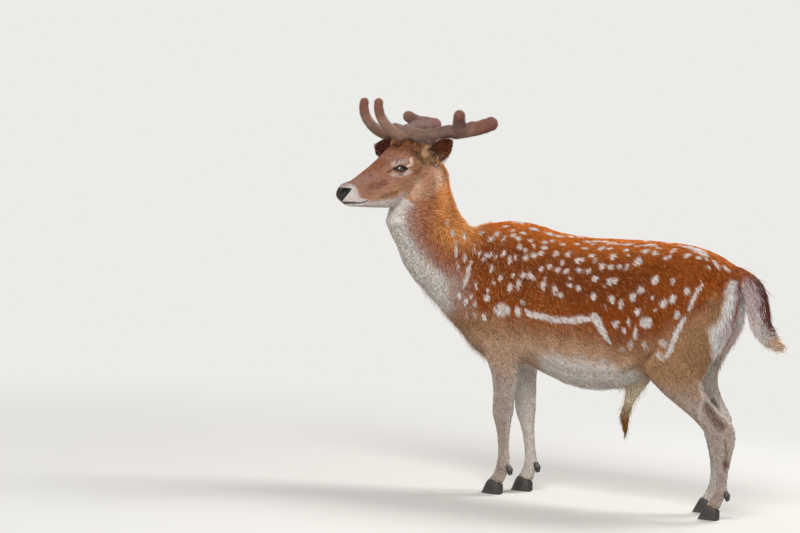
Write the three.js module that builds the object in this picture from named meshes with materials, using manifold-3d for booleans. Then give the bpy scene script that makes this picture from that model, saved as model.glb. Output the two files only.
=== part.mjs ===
// A young fallow buck in summer coat, standing with its head turned to its left.
// Millimetres, +Z up. It faces -X, and its left side is -Y. The floor is z = 0.
// Sizes here are out to the tips of the coat.

import * as THREE from 'three';
import { mergeVertices } from 'three/addons/utils/BufferGeometryUtils.js';
import Module from 'manifold-3d';

const wasm = await Module();
wasm.setup();

// Driving dimensions.
const elbowHeight = 400;
const hockHeight = 258;
const hoofSpread = 74;         // from the middle plane to the middle of each foot
const gap = 0.3;               // kept between pieces that touch
const headTurn = 38;           // degrees to its left
const headDrop = 38;           // degrees that the nose line falls
const headPlace = [-472, -133, 1008];   // between the roots of the antlers
const eyeRadius = 15.5;
const earWidth = 72;
const earThickness = 4;
const clawLength = 62;
const clawWidth = 21;
const clawHeight = 38;
const dewclawApart = 11;      // from the middle of the foot
// The middle of the whole outline, which is where the part's own origin lies.
const outlineMiddle = new THREE.Vector3(-1, -73, 0);

const material = (color, roughness) => new THREE.MeshStandardMaterial({ color, roughness, metalness: 0 });
const coat = material('#b5743f', 0.9);
const paleCoat = material('#d8c4ae', 0.9);
const faceCoat = material('#b08a6c', 0.9);
const darkCoat = material('#6b4a34', 0.9);
const velvet = material('#a3806c', 0.85);
const horn = material('#2c2725', 0.5);
const wetDark = material('#17110f', 0.08);

// ---------------------------------------------------------------- shapes

const toRadians = THREE.MathUtils.degToRad;

// Squares up or slims down the round of a section.
function rounded(value, power) {
  return Math.sign(value) * Math.abs(value) ** power;
}

// Moves every vertex of a closed tube of rings to place(way, angle, reach): way runs from 0 to 1
// along it, angle is 0 at the first outline, and reach is 0 at the middle of each end.
function remap(around, along, place) {
  const tube = new THREE.CylinderGeometry(1, 1, 1, around, along);
  tube.deleteAttribute('normal');
  tube.deleteAttribute('uv');
  const shape = mergeVertices(tube, 1e-4);
  const position = shape.attributes.position;
  for (let i = 0; i < position.count; i += 1) {
    const x = position.getX(i);
    const z = position.getZ(i);
    const spot = place(0.5 - position.getY(i), Math.atan2(x, z), Math.min(1, Math.hypot(x, z)));
    position.setXYZ(i, spot.x, spot.y, spot.z);
  }
  return shape;
}

// A body through stations, each with two opposite points of its outline and half its breadth.
// slim makes it narrower towards the first outline, and power under 1 makes it squarer.
function loft(stations, around, along, grow = 0) {
  const curve = (point) => new THREE.CatmullRomCurve3(stations.map(point), false, 'catmullrom', 0.5);
  const first = curve((station) => new THREE.Vector3(...station.first));
  const second = curve((station) => new THREE.Vector3(...station.second));
  const girth = curve((station) => new THREE.Vector3(station.half, station.slim ?? 0, station.power ?? 1));
  const middle = (way) => first.getPoint(way).add(second.getPoint(way)).multiplyScalar(0.5);
  return remap(around, along, (way, angle, reach) => {
    const depth = first.getPoint(way).sub(second.getPoint(way)).multiplyScalar(0.5);
    const ahead = middle(Math.min(1, way + 0.01)).sub(middle(Math.max(0, way - 0.01)));
    const side = depth.clone().cross(ahead).normalize();
    const { x: half, y: slim, z: power } = girth.getPoint(way);
    const up = rounded(Math.cos(angle), power);
    const out = rounded(Math.sin(angle), power) * (1 - slim * up);
    return middle(way)
      .addScaledVector(depth, reach * up * (1 + grow / depth.length()))
      .addScaledVector(side, reach * out * (half + grow));
  });
}

// A round horn or tine through points, each with a radius. The last part of it rounds off to a tip.
const tipShare = 1 / 6;
function tine(points, around, along, grow = 0) {
  const path = new THREE.CatmullRomCurve3(points.map((point) => new THREE.Vector3(...point.at)));
  const size = new THREE.CatmullRomCurve3(points.map((point) => new THREE.Vector3(
    point.radius, point.flat ?? point.radius, 0)));
  const sideways = new THREE.Vector3(0, 1, 0);
  return remap(around, along, (way, angle, reach) => {
    const past = Math.max(0, 1 - (1 - way) / tipShare);
    const tip = Math.sqrt(1 - 0.9 * past ** 2);
    const spot = Math.min(0.9999, way);
    const ahead = path.getTangent(spot);
    const side = sideways.clone().addScaledVector(ahead, -sideways.dot(ahead)).normalize();
    const up = ahead.clone().cross(side);
    const radius = size.getPoint(spot);
    return path.getPoint(spot)
      .addScaledVector(side, Math.sin(angle) * reach * (radius.x * tip + grow))
      .addScaledVector(up, Math.cos(angle) * reach * (radius.y * tip + grow));
  });
}

// ---------------------------------------------------------------- joins and cuts

function volumeOf(shape) {
  const position = shape.attributes.position;
  const corner = (i) => new THREE.Vector3().fromBufferAttribute(position, shape.index.getX(i));
  let sum = 0;
  for (let i = 0; i < shape.index.count; i += 3) {
    sum += corner(i).dot(corner(i + 1).cross(corner(i + 2)));
  }
  return sum;
}

// A solid for joining and cutting, its faces turned out.
function solid(geometry) {
  const bare = geometry.clone();
  bare.deleteAttribute('normal');
  bare.deleteAttribute('uv');
  const shape = mergeVertices(bare, 1e-4);
  const corners = Uint32Array.from(shape.index.array);
  if (volumeOf(shape) < 0) {
    corners.reverse();
  }
  return new wasm.Manifold(new wasm.Mesh({
    numProp: 3,
    vertProperties: Float32Array.from(shape.attributes.position.array),
    triVerts: corners,
  }));
}

function geometryOf(manifold) {
  const { vertProperties, triVerts } = manifold.getMesh();
  const shape = new THREE.BufferGeometry();
  shape.setAttribute('position', new THREE.BufferAttribute(Float32Array.from(vertProperties), 3));
  shape.setIndex(new THREE.BufferAttribute(Uint32Array.from(triVerts), 1));
  return shape;
}

// A cutting block from its size, place and turn in degrees, as it is and grown by the gap.
function block(size, place, turn = [0, 0, 0], pose = new THREE.Matrix4()) {
  const angles = new THREE.Euler(...turn.map(toRadians), 'ZYX');
  const stand = new THREE.Matrix4().makeRotationFromEuler(angles).setPosition(...place).premultiply(pose);
  const box = (extra) => new THREE.BoxGeometry(...size.map((edge) => edge + extra));
  const make = (extra) => solid(box(extra).applyMatrix4(stand));
  return { inside: make(0), clear: make(2 * gap) };
}

// ---------------------------------------------------------------- trunk and neck

// From rump to throat: a point on the back, one on the belly, half the breadth.
const bodyStations = [
  { first: [520, 0, 690], second: [516, 0, 612], half: 34 },
  { first: [508, 0, 738], second: [498, 0, 540], half: 74 },
  { first: [474, 0, 760], second: [462, 0, 490], half: 96 },
  { first: [425, 0, 781], second: [405, 0, 446], half: 110, slim: 0.1 },
  { first: [348, 0, 795], second: [330, 0, 408], half: 118, slim: 0.12 },
  { first: [258, 0, 795], second: [250, 0, 373], half: 126, slim: 0.14 },
  { first: [160, 0, 791], second: [160, 0, 340], half: 136, slim: 0.14 },
  { first: [68, 0, 785], second: [70, 0, 335], half: 138, slim: 0.14 },
  { first: [-24, 0, 789], second: [-20, 0, 357], half: 132, slim: 0.16 },
  { first: [-100, 0, 805], second: [-90, 0, 382], half: 120, slim: 0.2 },
  { first: [-165, 0, 811], second: [-160, 0, 388], half: 110, slim: 0.26 },
  { first: [-228, -2, 803], second: [-232, -2, 395], half: 104, slim: 0.28 },
  { first: [-275, -8, 788], second: [-300, -8, 452], half: 99, slim: 0.24 },
  { first: [-303, -20, 779], second: [-362, -26, 514], half: 93, slim: 0.18 },
  { first: [-326, -30, 798], second: [-423, -55, 576], half: 87, slim: 0.1 },
  { first: [-345, -40, 822], second: [-473, -85, 636], half: 80, slim: 0.06 },
  { first: [-366, -56, 870], second: [-503, -120, 715], half: 74 },
  { first: [-380, -64, 915], second: [-528, -146, 768], half: 70 },
  { first: [-391, -70, 952], second: [-506, -158, 815], half: 66 },
  { first: [-408, -84, 978], second: [-492, -150, 868], half: 50 },
];
const body = (grow) => solid(loft(bodyStations, 24, 30, grow));

// ---------------------------------------------------------------- head

const headPose = new THREE.Matrix4()
  .makeRotationFromEuler(new THREE.Euler(0, toRadians(-headDrop), toRadians(headTurn), 'ZYX'))
  .setPosition(...headPlace);

// From the back of the skull to the nose, in the head's own frame: it faces -X, with +Z its crown.
const headStations = [
  { first: [42, 0, -20], second: [14, 0, -100], half: 40 },
  { first: [26, 0, 18], second: [-26, 0, -116], half: 54 },
  { first: [-4, 0, 38], second: [-58, 0, -123], half: 59, slim: -0.14 },
  { first: [-42, 0, 42], second: [-90, 0, -124], half: 61, slim: -0.22, power: 0.95 },
  { first: [-78, 0, 37], second: [-118, 0, -121], half: 59, slim: -0.28, power: 0.95 },
  { first: [-113, 0, 33], second: [-146, 0, -115], half: 50, slim: -0.22 },
  { first: [-148, 0, 30], second: [-176, 0, -99], half: 41, slim: -0.12 },
  { first: [-182, 0, 29], second: [-203, 0, -81], half: 34, slim: -0.06 },
  { first: [-211, 0, 29], second: [-226, 0, -66], half: 30, power: 0.95 },
  { first: [-237, 0, 29], second: [-247, 0, -51], half: 28, power: 0.92 },
  { first: [-256, 0, 30], second: [-265, 0, -38], half: 26, power: 0.9 },
  { first: [-270, 0, 25], second: [-277, 0, -26], half: 22, power: 0.9 },
  { first: [-279, 0, 15], second: [-283, 0, -10], half: 13 },
];

const eyeSpots = { left: [-91, -45, -21], right: [-91, 45, -21] };
const orbitOut = 1.42;         // how many times further out than the eyeball the hollow before it lies
const pedicle = (side, grow) => solid(tine([
  { at: [-26, side * 30, 10], radius: 22 },
  { at: [-22, side * 38, 34], radius: 21 },
  { at: [-17, side * 46, 52], radius: 21 },
  { at: [-14, side * 52, 66], radius: 20 },
], 8, 3, grow));

function skull(grow) {
  let shape = solid(loft(headStations, 20, 17, grow));
  for (const side of [-1, 1]) {
    // The brow stands out over the eye.
    const brow = new THREE.SphereGeometry(1, 8, 6).scale(28 + grow, 11 + grow, 12 + grow);
    brow.rotateY(toRadians(20)).translate(-80, side * 50, 0);
    shape = shape.add(solid(brow)).add(pedicle(side, grow));
  }
  // The hollow that each eye looks out of, and the room for the eyeball behind it.
  for (const [x, y, z] of Object.values(eyeSpots)) {
    const orbit = new THREE.SphereGeometry(1, 10, 7).scale(23 - grow, 11 - grow, 14 - grow);
    orbit.rotateY(toRadians(25)).translate(x, y * orbitOut, z);
    const room = new THREE.SphereGeometry(eyeRadius + gap - grow, 10, 7).translate(x, y, z);
    shape = shape.subtract(solid(orbit)).subtract(solid(room));
  }
  return shape.transform(headPose.elements);
}

// ---------------------------------------------------------------- legs

// Front and back outlines of one leg from its top to the crown of the hoof, seen from the side.
const foreLine = [
  { front: [-236, 700], back: [-126, 712], half: 18, inward: 24 },
  { front: [-268, 616], back: [-90, 624], half: 36, inward: 6 },
  { front: [-272, 542], back: [-74, 536], half: 43, inward: 2 },
  { front: [-248, 474], back: [-74, 458], half: 42 },
  { front: [-214, 414], back: [-98, 404], half: 37 },
  { front: [-193, 366], back: [-108, 358], half: 31 },
  { front: [-182, 320], back: [-109, 316], half: 27 },
  { front: [-178, 284], back: [-112, 280], half: 24.5 },
  { front: [-176, 250], back: [-114, 248], half: 25.5 },
  { front: [-170, 222], back: [-115, 222], half: 24 },
  { front: [-160, 196], back: [-117, 196], half: 18.5 },
  { front: [-152, 158], back: [-117, 158], half: 16 },
  { front: [-148, 120], back: [-113, 118], half: 15.5 },
  { front: [-148, 92], back: [-108, 86], half: 19 },
  { front: [-155, 66], back: [-117, 56], half: 17 },
  { front: [-169, 44], back: [-126, 31], half: 20.5 },
];
const hindLine = [
  { front: [322, 702], back: [470, 728], half: 40, inward: 34 },
  { front: [276, 592], back: [516, 648], half: 58, inward: 14 },
  { front: [256, 480], back: [512, 556], half: 58, inward: 9 },
  { front: [272, 412], back: [488, 497], half: 49, inward: 4 },
  { front: [306, 374], back: [452, 446], half: 38 },
  { front: [348, 342], back: [446, 404], half: 31 },
  { front: [396, 312], back: [466, 358], half: 25 },
  { front: [431, 288], back: [503, 324], half: 21.5 },
  { front: [457, 264], back: [541, 292], half: 20.5 },
  { front: [474, 243], back: [559, 264], half: 19.5 },
  { front: [485, 218], back: [561, 233], half: 18.5 },
  { front: [496, 190], back: [556, 196], half: 17 },
  { front: [507, 158], back: [550, 158], half: 15.5 },
  { front: [513, 122], back: [547, 120], half: 15.5 },
  { front: [513, 92], back: [551, 86], half: 19 },
  { front: [505, 66], back: [539, 55], half: 17 },
  { front: [491, 44], back: [532, 31], half: 20.5 },
];

// Each leg stands a little apart: swing slants it back below the elbow, lift raises its hock,
// and ahead sets its foot forward of the thigh, through a bend between stifle and hock.
const legs = {
  fore_left: { line: foreLine, side: -1, shift: 0, swing: 0, lift: 0, ahead: 0 },
  fore_right: { line: foreLine, side: 1, shift: 18, swing: 0.1, lift: 0, ahead: 0 },
  hind_left: { line: hindLine, side: -1, shift: 0, swing: 0, lift: 0, ahead: 0 },
  hind_right: { line: hindLine, side: 1, shift: 16, swing: 0, lift: 10, ahead: 62 },
};
const bendTop = 400;           // height where that bend starts
const bendEnd = 240;           // and where it ends, at the hock

// Where a point of the leg's side view, x and z, lies on this leg.
function onLeg(leg, [x, z], inward = 0) {
  const below = Math.max(0, elbowHeight - z);
  const raised = leg.lift * THREE.MathUtils.smoothstep(z, clawHeight + 6, hockHeight);
  const forward = leg.ahead * (1 - THREE.MathUtils.smoothstep(z, bendEnd, bendTop));
  const along = x + leg.shift + leg.swing * below - forward;
  return [along, leg.side * (hoofSpread - inward), z + raised];
}

function legSolid(leg, grow) {
  const stations = leg.line.map((station) => ({
    first: onLeg(leg, station.front, station.inward),
    second: onLeg(leg, station.back, station.inward),
    half: station.half,
  }));
  return solid(loft(stations, 12, 17, grow));
}

// ---------------------------------------------------------------- hooves

// One claw: its top follows the crown of the hoof, and its sole is a flat at floor level.
function claw(leg, inner) {
  const crown = leg.line[leg.line.length - 1];
  const [frontX, y, frontZ] = onLeg(leg, crown.front);
  const [backX, , backZ] = onLeg(leg, crown.back);
  const middle = y + (inner ? -1 : 1) * leg.side * (clawWidth / 2 + 0.5);
  const at = (x, z) => [x, middle, z];
  const toe = backX - clawLength;
  const stations = [
    { first: at(frontX + 1, frontZ - gap), second: at(backX - 1, backZ - gap), half: clawWidth * 0.42 },
    { first: at(frontX - 6, frontZ - 12), second: at(backX + 1, backZ - 11), half: clawWidth * 0.47 },
    { first: at(toe + 4, 7), second: at(backX + 2, 5), half: clawWidth * 0.5 },
    { first: at(toe, 0), second: at(backX, 0), half: clawWidth * 0.48 },
  ];
  return solid(loft(stations, 8, 3));
}

// A dewclaw behind the fetlock, its tip pointing down and back.
function dewclaw(leg, inner) {
  const fetlock = leg.line[leg.line.length - 3];
  const [x, y, z] = onLeg(leg, fetlock.back);
  const middle = y + (inner ? -1 : 1) * leg.side * dewclawApart;
  const at = (across, down) => [x + across, middle, z - down];
  return solid(loft([
    { first: at(-12, 2), second: at(-5, -8), half: 6 },
    { first: at(-8, 12), second: at(6, 2), half: 8 },
    { first: at(-2, 22), second: at(9, 14), half: 6 },
    { first: at(2, 27), second: at(7, 24), half: 3 },
  ], 6, 2));
}

// ---------------------------------------------------------------- tail and sheath

const tailStations = [
  { first: [466, 4, 752], second: [470, 4, 690], half: 16 },
  { first: [498, 4, 749], second: [500, 4, 700], half: 20 },
  { first: [527, 5, 739], second: [514, 5, 690], half: 24 },
  { first: [556, 6, 724], second: [530, 6, 655], half: 28 },
  { first: [582, 7, 702], second: [542, 7, 625], half: 31 },
  { first: [601, 8, 664], second: [550, 8, 592], half: 31 },
  { first: [612, 9, 612], second: [565, 9, 560], half: 28 },
  { first: [625, 10, 572], second: [588, 10, 534], half: 22 },
  { first: [641, 10, 545], second: [618, 10, 516], half: 13 },
  { first: [657, 10, 531], second: [648, 10, 509], half: 6 },
];
const tail = (grow) => solid(loft(tailStations, 10, 10, grow));

const sheathStations = [
  { first: [196, 0, 380], second: [296, 0, 404], half: 30 },
  { first: [203, 0, 340], second: [262, 0, 356], half: 20 },
  { first: [202, 0, 312], second: [246, 0, 332], half: 15 },
  { first: [197, 0, 284], second: [232, 0, 304], half: 11 },
  { first: [198, 0, 254], second: [223, 0, 266], half: 8 },
  { first: [212, 0, 214], second: [221, 0, 219], half: 4 },
];
const sheath = (grow) => solid(loft(sheathStations, 8, 6, grow));

// ---------------------------------------------------------------- ears

// A leaf-shaped cup: breadth and depth of the cup along it, thin, with its hollow side along open.
function earSolid({ root, tip, open, side }) {
  const start = new THREE.Vector3(root[0], side * root[1], root[2]);
  const ahead = new THREE.Vector3(tip[0], side * tip[1], tip[2]).sub(start);
  const length = ahead.length();
  ahead.normalize();
  const hollow = new THREE.Vector3(open[0], side * open[1], open[2]);
  hollow.addScaledVector(ahead, -hollow.dot(ahead)).normalize();
  const across = ahead.clone().cross(hollow).normalize();
  return solid(remap(10, 7, (way, angle, reach) => {
    const breadth = earWidth / 2 * (0.42 + 0.58 * Math.sin(Math.PI * Math.min(1, way * 1.05 + 0.02)) ** 0.8)
      * Math.sqrt(1 - way ** 5 * 0.99);
    const cup = 22 * (1 - way) ** 0.6 + 3;
    const thickness = earThickness * (1.6 - 0.8 * way);
    const u = Math.sin(angle) * reach;
    return start.clone()
      .addScaledVector(ahead, length * way)
      .addScaledVector(across, u * breadth)
      .addScaledVector(hollow, cup * (u * u - 0.6) + Math.cos(angle) * reach * thickness / 2);
  }));
}
const earShapes = {
  left: { side: -1, root: [10, 40, -52], tip: [65, 156, -6], open: [-0.6, 0.55, 0.2] },
  right: { side: 1, root: [4, 40, -48], tip: [-56, 158, 26], open: [-0.4, 0.2, -0.75] },
};

// ---------------------------------------------------------------- antlers

// One antler in velvet: the beam runs out and back to a fork, a brow tine rises over the face,
// and the palm ends in a front point and a longer rear lobe.
const antlerShapes = {
  left: {
    side: -1,
    beam: [[-14, 52, 62], [0, 60, 50], [20, 74, 29], [52, 97, 18], [80, 120, 9], [104, 142, 1]],
    brow: [[-8, 54, 52], [-32, 51, 64], [-50, 52, 96], [-57, 52, 134], [-52, 52, 166], [-35, 52, 198]],
    point: [[100, 136, 0], [108, 158, 26], [118, 180, 56]],
    lobe: [[86, 126, 0], [112, 150, -8], [140, 174, -17], [170, 192, -23], [194, 204, -26]],
  },
  right: {
    side: 1,
    beam: [[-14, 52, 62], [0, 60, 50], [20, 74, 29], [52, 97, 18], [76, 118, 7], [98, 140, -2]],
    brow: [[-8, 54, 52], [-38, 51, 64], [-58, 52, 96], [-65, 52, 132], [-60, 52, 163], [-41, 52, 195]],
    point: [[92, 136, -2], [88, 158, 20], [84, 180, 43]],
    lobe: [[82, 124, 0], [104, 146, -12], [126, 168, -26], [144, 186, -40], [158, 199, -50]],
  },
};
const through = (points, side, radii) => points.map(([x, y, z], i) => ({
  at: [x, side * y, z],
  radius: radii[i][0],
  flat: radii[i][1],
}));
const even = (...radii) => radii.map((radius) => [radius, radius]);

function antlerSolids({ side, beam, brow, point, lobe }) {
  const make = (points, radii, around, along) => (grow) =>
    solid(tine(through(points, side, radii), around, along, grow)).transform(headPose.elements);
  return {
    beam: make(beam, even(22, 20, 19, 18, 19, 20), 8, 6),
    brow: make(brow, even(13, 16, 15, 14, 13.5, 13), 8, 8),
    point: make(point, even(18, 17, 16.5), 8, 4),
    lobe: make(lobe, [[20, 19], [21, 20], [21, 20], [20.5, 19.5], [20, 19]], 8, 6),
  };
}

// ---------------------------------------------------------------- the animal, parted into its nodes

const deer = new THREE.Group();
deer.name = 'fallow_deer';
deer.position.copy(outlineMiddle).negate();

function addNode(name, manifold, surface) {
  const mesh = new THREE.Mesh(geometryOf(manifold), surface);
  mesh.name = name;
  deer.add(mesh);
}

const legPieces = Object.values(legs).map((leg) => (grow) => legSolid(leg, grow));
const fleshPieces = [body, skull, tail, sheath, ...legPieces];
const joined = (grow) => fleshPieces.map((piece) => piece(grow)).reduce((whole, piece) => whole.add(piece));
let flesh = joined(0);
const clearOfFlesh = joined(gap);

// The blocks that part it. Each leg has two, given by their length, height and middle in side view.
const legBlockMiddle = 150;
const legBlockWidth = 248;
const legBlocks = {
  fore: {
    lower: { size: [240, 270], at: [-120, 100], lean: 0 },
    upper: { size: [250, 360], at: [-168, 250], lean: 0 },
  },
  hind: {
    lower: { size: [190, 340], at: [505, 85], lean: 0 },
    upper: { size: [330, 440], at: [500, 310], lean: -22 },
  },
};
const tailBlock = block([300, 90, 420], [690, 4, 640]);
const sheathBlock = block([116, 80, 200], [248, 0, 233]);
const headBlock = block([480, 400, 300], [-150, 0, 48], [0, -16, 0], headPose);
const neckBlock = block([400, 700, 900], [-560, -100, 760], [0, 24, 0]);

function legBlock(leg, { size: [length, height], at: [x, z], lean }) {
  return block([length, legBlockWidth, height], [x, leg.side * legBlockMiddle, z], [0, lean, 0]);
}

// Takes what lies inside a block from the flesh as one node.
function part(name, cutter, surface) {
  addNode(name, flesh.intersect(cutter.inside), surface);
  flesh = flesh.subtract(cutter.clear);
}

part('tail', tailBlock, darkCoat);
for (const [name, leg] of Object.entries(legs)) {
  const { lower, upper } = legBlocks[name.split('_')[0]];
  part(`${name}_lower`, legBlock(leg, lower), paleCoat);
  part(`${name}_upper`, legBlock(leg, upper), coat);
}
part('sheath', sheathBlock, paleCoat);
part('head', headBlock, faceCoat);
part('neck', neckBlock, coat);
addNode('trunk', flesh, coat);

for (const [side, spot] of Object.entries(eyeSpots)) {
  const ball = new THREE.SphereGeometry(eyeRadius, 10, 7).translate(...spot).applyMatrix4(headPose);
  addNode(`eye_${side}`, solid(ball), wetDark);
}

for (const [side, shape] of Object.entries(earShapes)) {
  addNode(`ear_${side}`, earSolid(shape).transform(headPose.elements).subtract(clearOfFlesh), faceCoat);
}

for (const [side, shape] of Object.entries(antlerShapes)) {
  const { beam, brow, point, lobe } = antlerSolids(shape);
  addNode(`antler_${side}_beam`, beam(0).subtract(clearOfFlesh), velvet);
  addNode(`antler_${side}_brow_tine`, brow(0).subtract(beam(gap)).subtract(clearOfFlesh), velvet);
  addNode(`antler_${side}_palm`, lobe(0).subtract(beam(gap)), velvet);
  addNode(`antler_${side}_front_point`, point(0).subtract(beam(gap)).subtract(lobe(gap)), velvet);
}

for (const [name, leg] of Object.entries(legs)) {
  for (const inner of [false, true]) {
    const which = inner ? 'inner' : 'outer';
    addNode(`claw_${name}_${which}`, claw(leg, inner), horn);
    addNode(`dewclaw_${name}_${which}`, dewclaw(leg, inner).subtract(clearOfFlesh), horn);
  }
}

export default deer;
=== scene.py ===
import math

import bpy
import numpy as np
from mathutils import Matrix, Vector
from mathutils.bvhtree import BVHTree


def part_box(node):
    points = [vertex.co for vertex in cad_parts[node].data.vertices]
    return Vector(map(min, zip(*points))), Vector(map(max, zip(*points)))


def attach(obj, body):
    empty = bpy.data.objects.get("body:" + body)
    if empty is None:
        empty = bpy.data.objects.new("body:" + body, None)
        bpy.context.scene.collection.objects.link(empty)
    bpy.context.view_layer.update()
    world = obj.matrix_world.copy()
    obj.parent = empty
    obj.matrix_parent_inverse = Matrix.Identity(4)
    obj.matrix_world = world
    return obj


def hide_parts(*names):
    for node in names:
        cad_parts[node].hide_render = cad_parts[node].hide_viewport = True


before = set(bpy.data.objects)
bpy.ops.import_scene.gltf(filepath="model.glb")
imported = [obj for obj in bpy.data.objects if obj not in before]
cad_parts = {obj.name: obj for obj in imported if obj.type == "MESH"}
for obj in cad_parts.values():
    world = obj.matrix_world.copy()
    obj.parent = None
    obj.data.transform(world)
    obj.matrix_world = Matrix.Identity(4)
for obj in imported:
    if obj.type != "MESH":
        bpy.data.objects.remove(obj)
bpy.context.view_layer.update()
bpy.ops.object.select_all(action="DESELECT")

# ---------------------------------------------------------------- camera
# A long lens from the animal's left, level with its chest and turned a little towards its rump.
# The ground slopes in the view, so the camera is rolled and the animal stays upright on its floor.

view_turn = math.radians(15)
view_height = math.radians(4.5)
view_roll = math.radians(5)
view_distance = 13.333
view_aim = Vector((-0.517, 0.073, 0.637))

behind = Vector((math.sin(view_turn) * math.cos(view_height), -math.cos(view_turn) * math.cos(view_height),
                 math.sin(view_height)))
across = Vector((math.cos(view_turn), math.sin(view_turn), 0))
above = across.cross(-behind)
camera_right = across * math.cos(view_roll) + above * math.sin(view_roll)
camera_up = above * math.cos(view_roll) - across * math.sin(view_roll)
bpy.ops.object.camera_add()
camera = bpy.context.object
camera.name = "camera"
camera.data.lens = 200
camera.data.sensor_width = 36
camera.data.clip_end = 500
camera.matrix_world = Matrix.Translation(view_aim + behind * view_distance) @ Matrix(
    (camera_right, camera_up, behind)).transposed().to_4x4()
bpy.context.scene.camera = camera

# ---------------------------------------------------------------- floor and light
# A pale painted studio floor that fades into an even pale background, with the animal's soft shadow on it.
# One large lamp stands high on its left, a second behind it lights the edge of the coat, the room fills in.


def linear(code):
    """A hex sRGB colour as linear red, green and blue."""
    parts = [int(code[i:i + 2], 16) / 255 for i in (1, 3, 5)]
    return [p / 12.92 if p <= 0.04045 else ((p + 0.055) / 1.055) ** 2.4 for p in parts]


def new_material(name):
    """A material that has no nodes yet."""
    material = bpy.data.materials.new(name)
    material.use_nodes = True
    material.node_tree.nodes.clear()
    return material


def add_node(owner, kind, settings=None, **links):
    """Adds a shader node with its settings. Each link names an input and gives a socket or a plain value."""
    node = owner.node_tree.nodes.new("ShaderNode" + kind)
    for name, value in (settings or {}).items():
        setattr(node, name, value)
    for name, value in links.items():
        key = int(name[1:]) if name[0] == "_" else name.replace("__", " ")
        if isinstance(value, bpy.types.NodeSocket):
            owner.node_tree.links.new(value, node.inputs[key])
        else:
            node.inputs[key].default_value = value
    return node


bpy.context.scene.view_settings.view_transform = "Standard"
background = (*linear("#ecebe8"), 1)
floor_radius = 70
bpy.ops.mesh.primitive_circle_add(vertices=96, radius=floor_radius, fill_type="NGON", location=(0, 0, 0))
floor = bpy.context.object
floor.name = "floor"
paint = new_material("matt_floor_paint")
place = add_node(paint, "TexCoord")
away = add_node(paint, "VectorMath", {"operation": "LENGTH"}, _0=place.outputs["Object"])
fade = add_node(paint, "MapRange", {"interpolation_type": "SMOOTHSTEP"},
                Value=away.outputs["Value"], From__Min=0.9, From__Max=2.9)
matt = add_node(paint, "BsdfDiffuse", Color=(*linear("#c5c3bf"), 1))
glow = add_node(paint, "Emission", Color=background)
both = add_node(paint, "MixShader", _0=fade.outputs["Result"], _1=matt.outputs[0], _2=glow.outputs[0])
add_node(paint, "OutputMaterial", Surface=both.outputs[0])
floor.data.materials.append(paint)

world = bpy.data.worlds.new("studio")
bpy.context.scene.world = world
world.use_nodes = True
world.node_tree.nodes.clear()
ray = add_node(world, "LightPath")
seen = add_node(world, "Math", {"operation": "MAXIMUM"},
                _0=ray.outputs["Is Camera Ray"], _1=ray.outputs["Is Glossy Ray"])
seen = add_node(world, "Math", {"operation": "MAXIMUM"},
                _0=seen.outputs[0], _1=ray.outputs["Is Transmission Ray"])
room = add_node(world, "Background", Color=(*linear("#f4f3f1"), 1), Strength=0.44)
pale = add_node(world, "Background", Color=background, Strength=1.0)
both = add_node(world, "MixShader", _0=seen.outputs[0], _1=room.outputs[0], _2=pale.outputs[0])
add_node(world, "OutputWorld", Surface=both.outputs[0])

lamps_aim = Vector((0, 0.07, 0.6))
for name, spot, size, power in [("key", (0.4, -4.9, 4.4), 2.8, 400), ("edge", (1.9, 3.2, 4.0), 1.8, 270)]:
    bpy.ops.object.light_add(type="AREA", location=spot)
    lamp = bpy.context.object
    lamp.name = name
    lamp.data.size = size
    lamp.data.energy = power
    lamp.rotation_euler = (lamps_aim - Vector(spot)).to_track_quat("-Z", "Y").to_euler()

# ---------------------------------------------------------------- skin
# The hide of the whole animal, one closed surface from nose to crown of hoof, under short summer hair.
# It is cast over the solids of flesh, smoothed, drawn in by the coat's depth, and modelled over the muscles.

legs = ["fore_left", "fore_right", "hind_left", "hind_right"]
flesh = ["head", "neck", "trunk", "tail", "sheath"]
flesh += [f"{leg}_{half}" for leg in legs for half in ("upper", "lower")]
midline = 0.073                 # the body's middle plane
sunk_share = 0.20               # of the hair's length, by which the hide lies inside the solids
head_pose = Matrix.Translation((-0.471, -0.060, 1.008)) @ Matrix.Rotation(math.radians(38), 4, "Z")
head_pose = head_pose @ Matrix.Rotation(math.radians(-38), 4, "Y")
head_place = np.array(head_pose.translation)
head_turn = np.array(head_pose.to_3x3())
# Places in the head's own frame, in mm.
eye_radius = 15.5
eye_at = {"left": (-88, -45, -18), "right": (-88, 45, -18)}
ear_root = {"left": (10, -40, -52), "right": (4, 40, -48)}
ear_tip = {"left": (65, -156, -6), "right": (-56, 158, 26)}
ear_open = {"left": (-0.6, -0.55, 0.2), "right": (-0.4, 0.2, -0.75)}
ear_start = 0.16                # of the way from root to tip, where the ear leaves the head


def on_head(points):
    """Points of the head's own frame, in mm, as places in the room."""
    return np.atleast_2d(points) / 1000 @ head_turn.T + head_place


def in_head(points):
    """Places in the room as points of the head's own frame, in mm."""
    return (points - head_place) @ head_turn * 1000


def folded_head(points):
    """The same, with the left side of the head laid over the right."""
    face = in_head(points)
    face[:, 1] = np.abs(face[:, 1])
    return face


def unit(rows):
    """Rows, or one row, made one long."""
    return rows / np.linalg.norm(rows, axis=-1, keepdims=True)


def smooth_step(value, low, high):
    """0 below low, 1 above high, and a soft rise between them."""
    part = np.clip((value - low) / (high - low), 0, 1)
    return part * part * (3 - 2 * part)


def pick(*pieces):
    """Selects these pieces alone and makes the first the active one."""
    bpy.ops.object.select_all(action="DESELECT")
    for piece in pieces:
        piece.select_set(True)
    bpy.context.view_layer.objects.active = pieces[0]


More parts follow.
